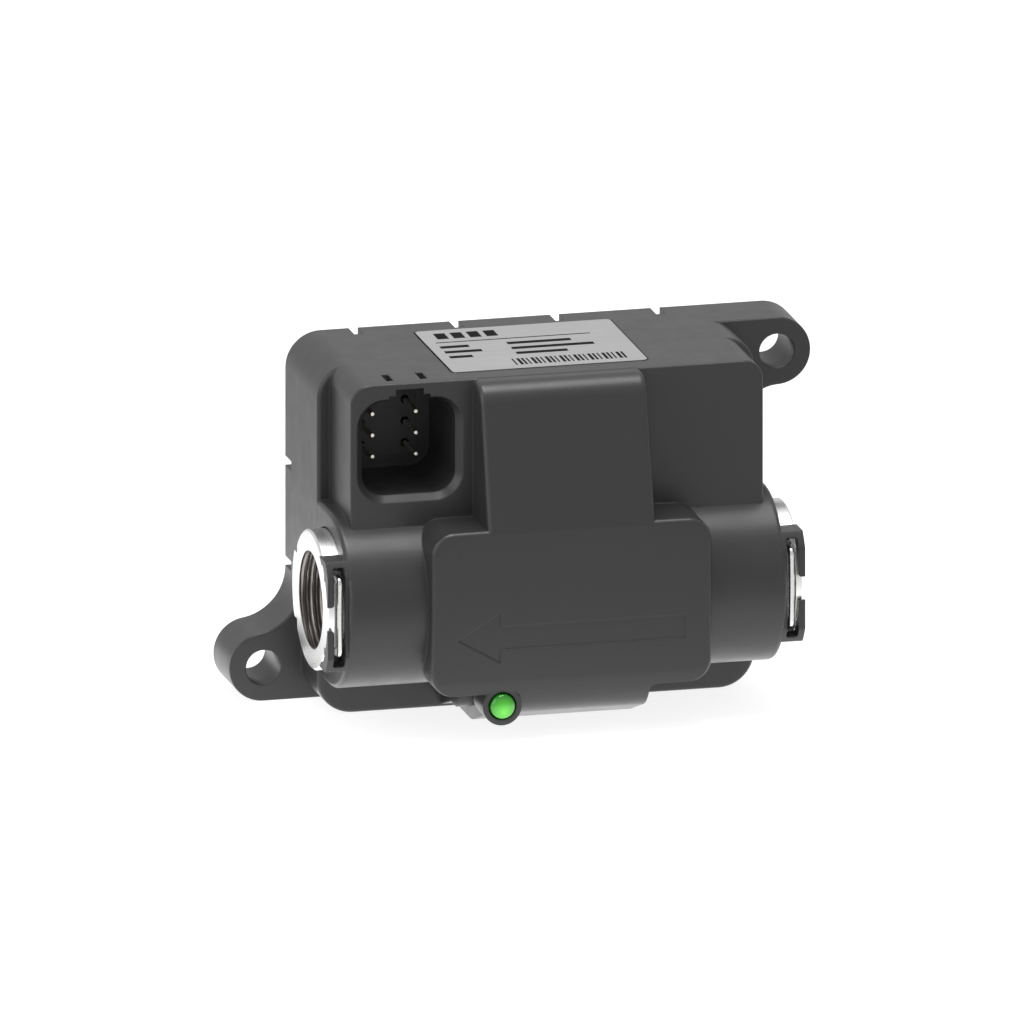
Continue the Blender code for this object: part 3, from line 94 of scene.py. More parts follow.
Point2 = tuple[float, float]
Point3 = tuple[float, float, float]
Placer = Callable[[float, float, float], Point3]
Radius = float | Callable[[float], float]


class Change(Enum):
    """How one solid changes another."""

    UNITE = "UNION"
    CUT = "DIFFERENCE"
    KEEP_COMMON = "INTERSECT"


# Outlines

def arc(centre: Point2, radius: float, start: float, end: float, steps: int) -> list[Point2]:
    """Gives points on an arc.

    Args:
        centre: Centre of the arc.
        radius: Radius of the arc.
        start: Angle of the first point.
        end: Angle of the last point.
        steps: Number of chords.

    Returns:
        The points, both ends included.
    """
    angles = [start + (end - start) * i / steps for i in range(steps + 1)]
    return [(centre[0] + radius * math.cos(a), centre[1] + radius * math.sin(a)) for a in angles]


def rounded(corners: Sequence[Point3], steps: int = CORNER_STEPS) -> list[Point2]:
    """Rounds the corners of an outline.

    Args:
        corners: Each corner's two coordinates and its radius.
        steps: Number of chords in each round corner.

    Returns:
        The outline's points.
    """
    outline: list[Point2] = []
    for i, (a, b, radius) in enumerate(corners):
        if radius <= 0.0:
            outline.append((a, b))
            continue
        before = corners[i - 1]
        after = corners[(i + 1) % len(corners)]
        to_before = math.atan2(before[1] - b, before[0] - a)
        to_after = math.atan2(after[1] - b, after[0] - a)
        turn = (to_after - to_before + math.pi) % (2 * math.pi) - math.pi
        half = abs(turn) / 2
        middle = to_before + turn / 2
        reach = radius / math.sin(half)
        centre = (a + reach * math.cos(middle), b + reach * math.sin(middle))
        sweep = math.copysign(math.pi - 2 * half, -turn)
        first = middle + math.pi - sweep / 2
        outline += arc(centre, radius, first, first + sweep, steps)
    return outline


def rectangle(left: float, right: float, bottom: float, top: float, radius: float = 0.0) -> list[Point2]:
    """Gives a rectangle's outline.

    Args:
        left: Lowest first coordinate.
        right: Highest first coordinate.
        bottom: Lowest second coordinate.
        top: Highest second coordinate.
        radius: Radius of all four corners.

    Returns:
        The outline's points.
    """
    corners = [(left, bottom), (right, bottom), (right, top), (left, top)]
    return rounded([(a, b, radius) for a, b in corners])


# Solids

def new_piece(name: str, shape: bmesh.types.BMesh) -> bpy.types.Object:
    """Closes a bmesh into an object of the scene.

    Args:
        name: Name of the object and its mesh.
        shape: The bmesh, which is freed.

    Returns:
        The new object.
    """
    bmesh.ops.recalc_face_normals(shape, faces=shape.faces)
    mesh = bpy.data.meshes.new(name)
    shape.to_mesh(mesh)
    shape.free()
    piece = bpy.data.objects.new(name, mesh)
    bpy.context.scene.collection.objects.link(piece)
    return piece


def loft(name: str, first: Sequence[Point3], second: Sequence[Point3]) -> bpy.types.Object:
    """Makes a solid between two rings with as many points each.

    Args:
        name: Name of the object.
        first: Points of the first ring.
        second: Points of the second ring.

    Returns:
        The solid.
    """
    shape = bmesh.new()
    near = [shape.verts.new(point) for point in first]
    far = [shape.verts.new(point) for point in second]
    shape.faces.new(near)
    shape.faces.new(far)
    for i in range(len(near)):
        j = (i + 1) % len(near)
        shape.faces.new((near[i], near[j], far[j], far[i]))
    return new_piece(name, shape)


def extrude_forward(name: str, outline: Iterable[Point2], back: float, front: float) -> bpy.types.Object:
    """Extrudes an outline of (x, z) points from one forward distance to another.

    Args:
        name: Name of the object.
        outline: The outline.
        back: Forward distance of the rear face.
        front: Forward distance of the front face.

    Returns:
        The solid.
    """
    points = list(outline)
    return loft(name, [(x, -back, z) for x, z in points], [(x, -front, z) for x, z in points])


def extrude_along(name: str, outline: Iterable[Point2], left: float, right: float) -> bpy.types.Object:
    """Extrudes an outline of (forward, z) points along the pipe.

    Args:
        name: Name of the object.
        outline: The outline.
        left: x of one end.
        right: x of the other end.

    Returns:
        The solid.
    """
    points = list(outline)
    return loft(name, [(left, -f, z) for f, z in points], [(right, -f, z) for f, z in points])


def extrude_up(name: str, outline: Iterable[Point2], bottom: float, top: float) -> bpy.types.Object:
    """Extrudes an outline of (x, forward) points upward.

    Args:
        name: Name of the object.
        outline: The outline.
        bottom: z of the lower face.
        top: z of the upper face.

    Returns:
        The solid.
    """
    points = list(outline)
    return loft(name, [(x, -f, bottom) for x, f in points], [(x, -f, top) for x, f in points])


def block(name: str, x: Point2, forward: Point2, z: Point2) -> bpy.types.Object:
    """Makes a plain box.

    Args:
        name: Name of the object.
        x: Its two x values, in any order.
        forward: Its rear and front forward distances.
        z: Its lower and upper z.

    Returns:
        The solid.
    """
    left, right = sorted(x)
    return extrude_forward(name, rectangle(left, right, z[0], z[1]), forward[0], forward[1])


def turn_profile(name: str, profile: Sequence[tuple[float, Radius]], place: Placer, segments: int,
                 closed: bool = False) -> bpy.types.Object:
    """Turns a profile about an axis.

    Args:
        name: Name of the object.
        profile: (along, radius) points. A radius may be a function of the angle, for a thread.
        place: Gives the point in space for a distance along the axis and two offsets from it.
        segments: Number of segments in a turn.
        closed: Whether the profile closes on itself, which makes a ring.

    Returns:
        The solid.
    """
    shape = bmesh.new()
    rings = []
    for along, radius in profile:
        if not callable(radius) and radius <= 0.0:
            rings.append([shape.verts.new(place(along, 0.0, 0.0))])
            continue
        ring = []
        for i in range(segments):
            angle = 2 * math.pi * i / segments
            reach = radius(angle) if callable(radius) else radius
            ring.append(shape.verts.new(place(along, reach * math.cos(angle), reach * math.sin(angle))))
        rings.append(ring)
    pairs = list(zip(rings, rings[1:])) + ([(rings[-1], rings[0])] if closed else [])
    for near, far in pairs:
        for i in range(segments):
            j = (i + 1) % segments
            if len(near) == 1:
                shape.faces.new((near[0], far[j], far[i]))
            elif len(far) == 1:
                shape.faces.new((near[i], near[j], far[0]))
            else:
                shape.faces.new((near[i], near[j], far[j], far[i]))
    return new_piece(name, shape)


def rod(name: str, place: Placer, ends: Point2, radius: float, segments: int) -> bpy.types.Object:
    """Makes a plain round rod.

    Args:
        name: Name of the object.
        place: Placing function of its axis.
        ends: Distances of its two ends along the axis.
        radius: Its radius.
        segments: Number of segments in a turn.

    Returns:
        The solid.
    """
    profile = [(ends[0], 0.0), (ends[0], radius), (ends[1], radius), (ends[1], 0.0)]
    return turn_profile(name, profile, place, segments)


def on_forward(x: float, z: float) -> Placer:
    """Returns the placing function of an axis that runs forward through (x, z)."""
    return lambda along, a, b: (x + a, -along, z + b)


def round_edges(piece: bpy.types.Object, width: float, wanted: Callable[[Vector], bool]) -> None:
    """Rounds the edges of a solid whose two ends both satisfy a test.

    Args:
        piece: The solid.
        width: Radius of the round edge.
        wanted: The test of an end point.
    """
    shape = bmesh.new()
    shape.from_mesh(piece.data)
    edges = [edge for edge in shape.edges if all(wanted(vert.co) for vert in edge.verts)]
    bmesh.ops.bevel(shape, geom=edges, offset=width, offset_type="OFFSET", segments=EDGE_STEPS, profile=0.5,
                    affect="EDGES", clamp_overlap=True)
    shape.to_mesh(piece.data)
    shape.free()


def at_front(forward: float) -> Callable[[Vector], bool]:
    """Returns a test that a point lies at or beyond a forward distance."""
    return lambda point: -point.y > forward - TOLERANCE


def at_side(side: int, reach: float) -> Callable[[Vector], bool]:
    """Returns a test that a point lies at or beyond a reach on one side."""
    return lambda point: side * point.x > reach - TOLERANCE


def combine(piece: bpy.types.Object, change: Change, *tools: bpy.types.Object) -> bpy.types.Object:
    """Changes a solid with other solids, one after another.

    Args:
        piece: The solid that changes.
        change: What is done with each tool.
        tools: The other solids, which are removed.

    Returns:
        The changed solid.
    """
    for tool in tools:
        step = piece.modifiers.new(tool.name, "BOOLEAN")
        step.operation = change.value
        step.solver = "EXACT"
        step.object = tool
        graph = bpy.context.evaluated_depsgraph_get()
        result = bpy.data.meshes.new_from_object(piece.evaluated_get(graph))
        piece.modifiers.clear()
        old = piece.data
        piece.data = result
        bpy.data.meshes.remove(old)
        bpy.data.objects.remove(tool)
    return piece


def settle(piece: bpy.types.Object) -> bpy.types.Object:
    """Cleans a solid's mesh and shades it by its faces' areas, so that its flat faces stay flat.

    Args:
        piece: The solid.

    Returns:
        The same solid.
    """
    shape = bmesh.new()
    shape.from_mesh(piece.data)
    bmesh.ops.remove_doubles(shape, verts=shape.verts, dist=WELD)
    bmesh.ops.dissolve_degenerate(shape, edges=shape.edges, dist=WELD)
    bmesh.ops.delete(shape, geom=[vert for vert in shape.verts if not vert.link_faces], context="VERTS")
    bmesh.ops.triangulate(shape, faces=[face for face in shape.faces if len(face.verts) > 4])
    shape.to_mesh(piece.data)
    shape.free()
    piece.data.name = piece.name
    piece.data.shade_smooth()
    piece.data.set_sharp_from_angle(angle=SMOOTH_ANGLE)
    weigh = piece.modifiers.new("area normals", "WEIGHTED_NORMAL")
    weigh.keep_sharp = True
    weigh.weight = 100
    return piece


# Shader nodes

def add_node(tree: bpy.types.NodeTree, kind: str, inputs: dict[str, object] | None = None) -> bpy.types.Node:
    """Adds a shader node.

    Args:
        tree: The material's nodes.
        kind: The node's type, without the word that starts every shader node's.
        inputs: Values of its inputs, by name.

    Returns:
        The node.
    """
    node = tree.nodes.new(f"ShaderNode{kind}")
    for name, value in (inputs or {}).items():
        node.inputs[name].default_value = value
    return node


def add_math(tree: bpy.types.NodeTree, operation: str, second: float | None = None) -> bpy.types.Node:
    """Adds a node that works out a number.

    Args:
        tree: The material's nodes.
        operation: What it works out.
        second: Value of its second input, where nothing is linked to it.

    Returns:
        The node.
    """
    node = add_node(tree, "Math")
    node.operation = operation
    if second is not None:
        node.inputs[1].default_value = second
    return node


def fade_from(tree: bpy.types.NodeTree, centre: Point3, scale: Point3) -> bpy.types.NodeSocket:
    """Adds a value that is 1 at a point in object space and fades to 0 away from it.

    Args:
        tree: The material's nodes.
        centre: The point.
        scale: One over the distance at which it is 0, on each axis.

    Returns:
        The value.
    """
    place = add_node(tree, "TexCoord")
    shift = [-value * factor for value, factor in zip(centre, scale)]
    mapping = add_node(tree, "Mapping", {"Location": shift, "Scale": scale})
    fade = add_node(tree, "TexGradient")
    fade.gradient_type = "SPHERICAL"
    tree.links.new(place.outputs["Object"], mapping.inputs["Vector"])
    tree.links.new(mapping.outputs["Vector"], fade.inputs["Vector"])
    return fade.outputs["Fac"]


# Finishes

@dataclass(frozen=True)
class Finish:
    """A surface finish: what all of them share.

    Attributes:
        name: Name of the material.
        slot: The record's material slot; not used.
        colour: Linear base colour.
        roughness: Middle roughness.
        drift: Share of the colour by which it drifts lighter and darker.
        drift_scale: Scale of that drift, per metre.
        drift_detail: Number of finer layers in it.
        noise_dark: Value that counts as a noise's darkest.
        noise_light: Value that counts as a noise's lightest.
    """

    name: str
    slot: str
    colour: Point3
    roughness: float
    drift: float = 0.06
    drift_scale: float = 60.0
    drift_detail: float = 2.0
    noise_dark: float = 0.3
    noise_light: float = 0.7

    def build(self) -> bpy.types.Material:
        """Builds the material, in each kind's own way."""
        raise NotImplementedError

    def start(self) -> tuple[bpy.types.Material, bpy.types.Node]:
        """Makes the material with its base values and its drifting colour.

        Returns:
            The material and its shader node.
        """
        material = bpy.data.materials.new(self.name)
        material.use_nodes = True
        tree = material.node_tree
        shader = tree.nodes["Principled BSDF"]
        shader.inputs["Base Color"].default_value = (*self.colour, 1.0)
        shader.inputs["Roughness"].default_value = self.roughness
        mix = add_node(tree, "Mix")
        mix.data_type = "RGBA"
        dark = [channel * (1 - self.drift) for channel in self.colour]
        light = [min(1.0, channel * (1 + self.drift)) for channel in self.colour]
        mix.inputs["A"].default_value = (*dark, 1.0)
        mix.inputs["B"].default_value = (*light, 1.0)
        tree.links.new(self.noise(material, self.drift_scale, self.drift_detail), mix.inputs["Factor"])
        tree.links.new(mix.outputs["Result"], shader.inputs["Base Color"])
        return material, shader

    def noise(self, material: bpy.types.Material, scale: float, detail: float,
              stretch: Point3 = (1.0, 1.0, 1.0)) -> bpy.types.NodeSocket:
        """Adds a noise in object space.

        Args:
            material: The material that gets it.
            scale: Scale of the noise, per metre.
            detail: Number of finer layers.
            stretch: Factor on each axis.

        Returns:
            The noise's value.
        """
        tree = material.node_tree
        place = add_node(tree, "TexCoord")
        mapping = add_node(tree, "Mapping", {"Scale": stretch})
        texture = add_node(tree, "TexNoise", {"Scale": scale, "Detail": detail})
        tree.links.new(place.outputs["Object"], mapping.inputs["Vector"])
        tree.links.new(mapping.outputs["Vector"], texture.inputs["Vector"])
        return texture.outputs["Fac"]

    def spread(self, material: bpy.types.Material, value: bpy.types.NodeSocket, low: float,
               high: float) -> None:
        """Lets the roughness follow a noise.

        Args:
            material: The material.
            value: The noise.
            low: Roughness at the noise's dark parts.
            high: Roughness at its light parts.
        """
        tree = material.node_tree
        ranger = add_node(tree, "MapRange", {
            "From Min": self.noise_dark, "From Max": self.noise_light, "To Min": low, "To Max": high,
        })
        tree.links.new(value, ranger.inputs["Value"])
        tree.links.new(ranger.outputs["Result"], tree.nodes["Principled BSDF"].inputs["Roughness"])

    def relief(self, material: bpy.types.Material, value: bpy.types.NodeSocket, depth: float,
               edge: float) -> None:
        """Adds a fine relief, and if asked slightly broken edges, to the shader's normal.

        Args:
            material: The material.
            value: Height of the relief, from 0 to 1.
            depth: Depth of the relief in metres.
            edge: Radius of the broken edges in metres.
        """
        tree = material.node_tree
        bump = add_node(tree, "Bump", {"Distance": depth})
        tree.links.new(value, bump.inputs["Height"])
        if edge > 0.0:
            bevel = add_node(tree, "Bevel", {"Radius": edge})
            tree.links.new(bevel.outputs["Normal"], bump.inputs["Normal"])
        tree.links.new(bump.outputs["Normal"], tree.nodes["Principled BSDF"].inputs["Normal"])


@dataclass(frozen=True)
class Moulding(Finish):
    """Injection-moulded plastic with a fine eroded grain.

    Attributes:
        grain: Scale of the grain, per metre.
        grain_depth: Depth of the grain in metres.
        grain_detail: Number of finer layers in the grain and the patches.
        patch: Scale of the duller and shinier patches, per metre.
        patch_spread: How far the patches' roughness lies from the middle.
        edge: Radius of its broken edges in metres.
        sheen: Strength of its mirrorlike reflection.
    """

    grain: float = 9000.0
    grain_depth: float = 0.006 * MM
    grain_detail: float = 4.0
    patch: float = 240.0
    patch_spread: float = 0.03
    edge: float = 0.15 * MM
    sheen: float = 0.5

    def build(self) -> bpy.types.Material:
        """Builds the material.

        Returns:
            The material.
        """
        material, shader = self.start()
        shader.inputs["Specular IOR Level"].default_value = self.sheen
        patches = self.noise(material, self.patch, self.grain_detail)
        low, high = self.roughness - self.patch_spread, self.roughness + self.patch_spread
        self.spread(material, patches, low, high)
        grain = self.noise(material, self.grain, self.grain_detail)
        self.relief(material, grain, self.grain_depth, self.edge)
        return material


@dataclass(frozen=True)
class Metal(Finish):
    """Metal with fine tool marks drawn out along one axis.

    Attributes:
        grain: Scale of the marks, per metre.
        grain_depth: Depth of the marks in metres.
        grain_detail: Number of finer layers in the marks.
        stretch: Factor on each axis: a small one draws the marks out along that axis.
        smooth_share: Share of the roughness at its smoothest.
        rough_share: Share of the roughness at its roughest.
        edge: Radius of its broken edges in metres.
    """

    drift: float = 0.05
    drift_scale: float = 90.0
    grain: float = 5000.0
    grain_depth: float = 0.004 * MM
    grain_detail: float = 3.0
    stretch: Point3 = (1.0, 1.0, 1.0)
    smooth_share: float = 0.8
    rough_share: float = 1.25
    edge: float = 0.12 * MM

    def build(self) -> bpy.types.Material:
        """Builds the material.

        Returns:
            The material.
        """
        material, shader = self.start()
        shader.inputs["Metallic"].default_value = 1.0
        marks = self.noise(material, self.grain, self.grain_detail, self.stretch)
        self.spread(material, marks, self.roughness * self.smooth_share, self.roughness * self.rough_share)
        self.relief(material, marks, self.grain_depth, self.edge)
        return material


@dataclass(frozen=True)
class TurnedMetal(Finish):
    """Metal turned on a lathe, with rings about the pipe's axis.

    Attributes:
        pitch: Distance between the rings in metres.
        ring_depth: Depth of the rings in metres.
        ring_detail: Number of finer layers in the rings.
        smooth_share: Share of the roughness at its smoothest.
        rough_share: Share of the roughness at its roughest.
        edge: Radius of its broken edges in metres.
    """

    drift: float = 0.04
    drift_scale: float = 120.0
    pitch: float = 0.12 * MM
    ring_depth: float = 0.0015 * MM
    ring_detail: float = 2.0
    smooth_share: float = 0.85
    rough_share: float = 1.2
    edge: float = 0.12 * MM

    def rings(self, material: bpy.types.Material) -> bpy.types.NodeSocket:
        """Adds a noise that changes only away from the pipe's axis and along it.

        Args:
            material: The material that gets it.

        Returns:
            The noise's value.
        """
        tree = material.node_tree
        place = add_node(tree, "TexCoord")
        split = add_node(tree, "SeparateXYZ")
        centred = add_math(tree, "ADD", PIPE_FORWARD)
        flat = add_node(tree, "CombineXYZ")
        reach = add_node(tree, "VectorMath")
        reach.operation = "LENGTH"
        total = add_math(tree, "ADD")
        wave = add_math(tree, "MULTIPLY", 1.0 / self.pitch)
        lines = add_node(tree, "TexNoise")
        lines.noise_dimensions = "1D"
        lines.inputs["Scale"].default_value = 1.0
        lines.inputs["Detail"].default_value = self.ring_detail
        link = tree.links.new
        link(place.outputs["Object"], split.inputs[0])
        link(split.outputs["Y"], centred.inputs[0])
        link(centred.outputs[0], flat.inputs["Y"])
        link(split.outputs["Z"], flat.inputs["Z"])
        link(flat.outputs[0], reach.inputs[0])
        link(reach.outputs["Value"], total.inputs[0])
        link(split.outputs["X"], total.inputs[1])
        link(total.outputs[0], wave.inputs[0])
        link(wave.outputs[0], lines.inputs["W"])
        return lines.outputs["Fac"]

    def build(self) -> bpy.types.Material:
        """Builds the material.

        Returns:
            The material.
        """
        material, shader = self.start()
        shader.inputs["Metallic"].default_value = 1.0
        rings = self.rings(material)
        self.spread(material, rings, self.roughness * self.smooth_share, self.roughness * self.rough_share)
        self.relief(material, rings, self.ring_depth, self.edge)
        return material


@dataclass(frozen=True)
class Lens(Finish):
    """Clear coloured plastic that lets some light through and is lit from within.

    Attributes:
        clearness: Share of light that passes.
        coat: Strength of its clear outer gloss.
        coat_roughness: Roughness of that gloss.
        glow: Strength of its own light at the bright spot.
        glow_colour: Linear colour of its own light.
        spot: Place of the bright spot.
        spot_reach: Distance over which the light fades away from the spot.
    """

    drift: float = 0.1
    drift_scale: float = 500.0
    clearness: float = 0.35
    coat: float = 0.5
    coat_roughness: float = 0.05
    glow: float = 0.0
    glow_colour: Point3 = (1.0, 1.0, 1.0)
    spot: Point3 = (0.0, 0.0, 0.0)
    spot_reach: float = 1.0 * MM

    def build(self) -> bpy.types.Material:
        """Builds the material.

        Returns:
            The material.
        """
        material, shader = self.start()
        shader.inputs["Transmission Weight"].default_value = self.clearness
        shader.inputs["Coat Weight"].default_value = self.coat
        shader.inputs["Coat Roughness"].default_value = self.coat_roughness
        shader.inputs["Emission Color"].default_value = (*self.glow_colour, 1.0)
        tree = material.node_tree
        strength = add_math(tree, "MULTIPLY", self.glow)
        scale = (1 / self.spot_reach, 1 / self.spot_reach, 1 / self.spot_reach)
        tree.links.new(fade_from(tree, self.spot, scale), strength.inputs[0])
        tree.links.new(strength.outputs[0], shader.inputs["Emission Strength"])
        return material


BLACK_MOULDING = Moulding("black moulding", "black_moulding", (0.03, 0.03, 0.0308), 0.37,
                          grain_depth=0.004 * MM, edge=0.45 * MM)
PALE_MOULDING = Moulding("pale moulding", "pale_moulding", (0.55, 0.53, 0.47), 0.45)
SEAL_RUBBER = Moulding("seal rubber", "seal_rubber", (0.015, 0.015, 0.015), 0.7, grain_depth=0.02 * MM)
STAINLESS = TurnedMetal("stainless steel", "stainless_steel", (0.86, 0.86, 0.855), 0.3)
# A darker copy of the stainless steel for the thread and the bore behind it: painted shade inside the bore
BORE_SHADE_STEEL = TurnedMetal("bore steel with painted shade", "stainless_steel", (0.27, 0.252, 0.24), 0.32)
SPRING_STEEL = Metal("spring steel", "stainless_steel", (0.75, 0.75, 0.74), 0.25, stretch=(0.1, 1.0, 1.0))
SCREW_STEEL = Metal("screw steel", "stainless_steel", (0.7, 0.7, 0.69), 0.3)
COPPER = Metal("enamelled copper", "enamelled_copper", (0.6, 0.24, 0.1), 0.3, stretch=(0.1, 0.1, 4.0))
SOFT_IRON = Metal("soft iron", "soft_iron", (0.35, 0.35, 0.36), 0.45)
LAMINATE = Moulding("green laminate", "green_laminate", (0.02, 0.14, 0.06), 0.4)
CARRIER_MOULDING = Moulding("carrier moulding", "chip_package", (0.05, 0.05, 0.05), 0.5, edge=0.0)
PACKAGE = Moulding("chip package", "chip_package", (0.02, 0.02, 0.021), 0.5)
LED_PACKAGE = Moulding("led package", "led_package", (0.7, 0.7, 0.66), 0.4)
CAN = Metal("capacitor can", "capacitor_can", (0.7, 0.7, 0.71), 0.3)
PIN_PLATING = Metal("pin plating", "pin_plating", (0.82, 0.8, 0.74), 0.22)
# The glow is the LED's own light; its bright spot sits 1 mm under the dome's middle, so the dome's upper rim
# stays dark as painted shade
GREEN_LENS = Lens("green lens", "green_lens", (0.02, 0.34, 0.01), 0.14, glow=1.05,
                  glow_colour=(0.14, 0.75, 0.05), spot=(LIGHT_X, -53.4 * MM, LIGHT_Z - 1.0 * MM),
                  spot_reach=3.1 * MM)
LABEL_FOIL = Metal("label foil", "label_foil", (0.62, 0.62, 0.625), 0.34, grain=2600.0,
                   stretch=(0.02, 1.0, 1.0), edge=0.0)
LABEL_INK = Moulding("label ink", "label_foil", (0.006, 0.006, 0.006), 0.8, edge=0.0, sheen=0.1)


class Wardrobe:
    """Builds each finish once and puts it on pieces."""

    def __init__(self) -> None:
        """Starts with no material built."""
        self.built: dict[str, bpy.types.Material] = {}

    def material(self, finish: Finish) -> bpy.types.Material:
        """Gives a finish's material, and builds it the first time.

        Args:
            finish: The finish.

        Returns:
            The material.
        """
        if finish.name not in self.built:
            self.built[finish.name] = finish.build()
        return self.built[finish.name]

    def dress(self, piece: bpy.types.Object, finish: Finish) -> None:
        """Gives a piece one finish all over.

        Args:
            piece: The piece.
            finish: Its finish.
        """
        piece.data.materials.clear()
        piece.data.materials.append(self.material(finish))
        LOG.info("%s: %d faces in %s", piece.name, len(piece.data.polygons), finish.name)

    def dress_part(self, piece: bpy.types.Object, finish: Finish, wanted: Callable[[Vector], bool]) -> None:
        """Gives some of a dressed piece's faces another finish.

        Args:
            piece: The piece.
            finish: The other finish.
            wanted: The test of a face's centre.
        """
        piece.data.materials.append(self.material(finish))
        for face in piece.data.polygons:
            if wanted(face.center):
                face.material_index = len(piece.data.materials) - 1

    def add(self, piece: bpy.types.Object, finish: Finish, *stands_for: str) -> None:
        """Dresses a new piece, sets it on the body and hides the nodes that it stands for.

        Args:
            piece: The piece.
            finish: Its finish.
            stands_for: Nodes that it replaces.
        """
        self.dress(piece, finish)
        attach(piece, BODY)
        if stands_for:
            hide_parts(*stands_for)


# Pieces

@dataclass
class Pipe:
    """Sizes about the pipe's axis that several pieces share."""

    forward: float = PIPE_FORWARD
    barrel_radius: float = 17.0 * MM
    barrel_bore: float = 13.65 * MM
    slot_inner: float = 43.1 * MM
    slot_outer: float = 44.95 * MM

    def place(self, along: float, a: float, b: float) -> Point3:
        """Returns a point at two offsets from the pipe's axis."""
        return (along, -(self.forward + a), b)


@dataclass
class Housing:
    """The black housing moulding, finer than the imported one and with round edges."""

    pipe: Pipe = field(default_factory=Pipe)
    half_width: float = 42.6 * MM
    top: float = BLOCK_TOP
    bottom: float = -25.1 * MM
    depth: float = 24.8 * MM
    head_radius: float = 6.8 * MM
    ear_side_radius: float = 5.6 * MM
    foot_radius: float = 6.9 * MM
    wall: float = 3.0 * MM
    front_wall: float = 2.5 * MM
    block_edge: float = 0.7 * MM
    ear_x: float = 50.0 * MM
    ear_radius: float = 6.6 * MM
    ear_hole: float = 3.4 * MM
    ear_thickness: float = 12.5 * MM
    upper_sweep: float = 8.0 * MM
    lower_sweep: float = 9.8 * MM
    ear_edge: float = 0.35 * MM
    box_step: float = 2.4 * MM
    box_depth: float = BOX_FACE
    box_radius: float = 3.8 * MM
    box_edge: float = 0.5 * MM
    pad_half_width: float = 27.3 * MM
    pad_top: float = 16.4 * MM
    pad_bottom: float = -15.7 * MM
    pad_face: float = PAD_FACE
    pad_radius: float = 4.5 * MM
    pad_edge: float = 0.9 * MM
    neck_half_width: float = 16.3 * MM
    neck_top_drop: float = 0.1 * MM
    neck_head_forward: float = 46.0 * MM
    neck_head_radius: float = 4.5 * MM
    neck_edge: float = 1.1 * MM
    chin_half_width: float = 15.3 * MM
    chin_drop: float = 24.9 * MM
    chin_front_drop: float = 18.9 * MM
    chin_ramp_forward: float = 35.8 * MM
    chin_ramp_radius: float = 8.0 * MM
    chin_radius: float = 9.0 * MM
    chin_fillet: float = 1.5 * MM
    shoulder_x: float = -18.6 * MM
    shoulder_foot: float = -24.6 * MM
    shoulder_bend: float = 33.0 * MM
    shoulder_face_foot: float = -21.9 * MM
    shoulder_forward: float = 40.2 * MM
    shoulder_radius: float = 4.0 * MM
    chamber_half_width: float = 10.5 * MM
    chamber_back: float = 15.3 * MM
    chamber_wall: float = 2.2 * MM
    barrel_edge: float = 0.9 * MM
    tab_reach: float = 3.9 * MM
    tab_radius: float = 16.9 * MM
    tab_face: float = 15.0 * MM
    tab_inner: float = 14.5 * MM
    tab_arm: float = 13.0 * MM
    tab_half_height: float = 10.8 * MM
    recess_half_height: float = 9.5 * MM
    window_half_height: float = 9.7 * MM
    window_inner: float = 43.0 * MM
    window_outer: float = 45.3 * MM
    notch_half_height: float = 2.3 * MM
    notch_edge: float = 0.5 * MM
    light_x: float = LIGHT_X
    light_z: float = LIGHT_Z
    light_boss: float = 3.8 * MM
    light_boss_root: float = 45.0 * MM
    light_boss_sink: float = 0.4 * MM
    light_hole: float = 2.7 * MM
    light_depth: float = 5.4 * MM
    notch_width: float = 1.8 * MM
    notch_depth: float = 1.3 * MM
    notch_length: float = 4.6 * MM
    notch_pitch: float = 19.6 * MM
    notch_side_z: float = 8.5 * MM
    rim: float = 1.9 * MM
    mouth_depth: float = 4.1 * MM

    def outline(self, inset: float) -> list[Point2]:
        """Gives the block's outline.

        Args:
            inset: How far it moves inward.

        Returns:
            Points (x, z).
        """
        left, right = -self.half_width + inset, self.half_width - inset
        low, high = self.bottom + inset, self.top - inset
        foot, head, ear_side = (radius - inset for radius in
                                (self.foot_radius, self.head_radius, self.ear_side_radius))
        return rounded([(left, low, foot), (right, low, foot), (right, high, ear_side), (left, high, head)])

    def ear(self, side: int, upright: int) -> bpy.types.Object:
        """Makes one ear with its hollow sweep into the block's side.

        Args:
            side: 1 for the right ear, -1 for the left.
            upright: 1 where its flat side is the top, -1 where it is the bottom.

        Returns:
            The solid, with its hole.
        """
        sweep = self.upper_sweep if upright > 0 else self.lower_sweep
        hole_z = self.top - self.ear_radius if upright > 0 else self.bottom + self.ear_radius
        overhang = self.ear_x - self.half_width
        rise = math.sqrt((self.ear_radius + sweep) ** 2 - (sweep - overhang) ** 2)
        tangent = math.atan2(-rise, sweep - overhang)
        outer = arc((self.ear_x, 0.0), self.ear_radius, math.pi / 2, tangent, 3 * CORNER_STEPS)
        inner = arc((self.half_width + sweep, -rise), sweep, tangent + math.pi, math.pi, 2 * CORNER_STEPS)
        root = self.half_width - self.head_radius
        outline = [(root, self.ear_radius)] + outer + inner[1:] + [(root, -rise)]
        placed = [(side * x, hole_z + upright * z) for x, z in outline]
        ear = extrude_forward("ear", placed, 0.0, self.ear_thickness)
        round_edges(ear, self.ear_edge, at_front(self.ear_thickness))
        hole = rod("ear hole", on_forward(side * self.ear_x, hole_z),
                   (-OVERLAP, self.ear_thickness + OVERLAP), self.ear_hole, 2 * SMALL_SEGMENTS)
        return combine(ear, Change.CUT, hole)

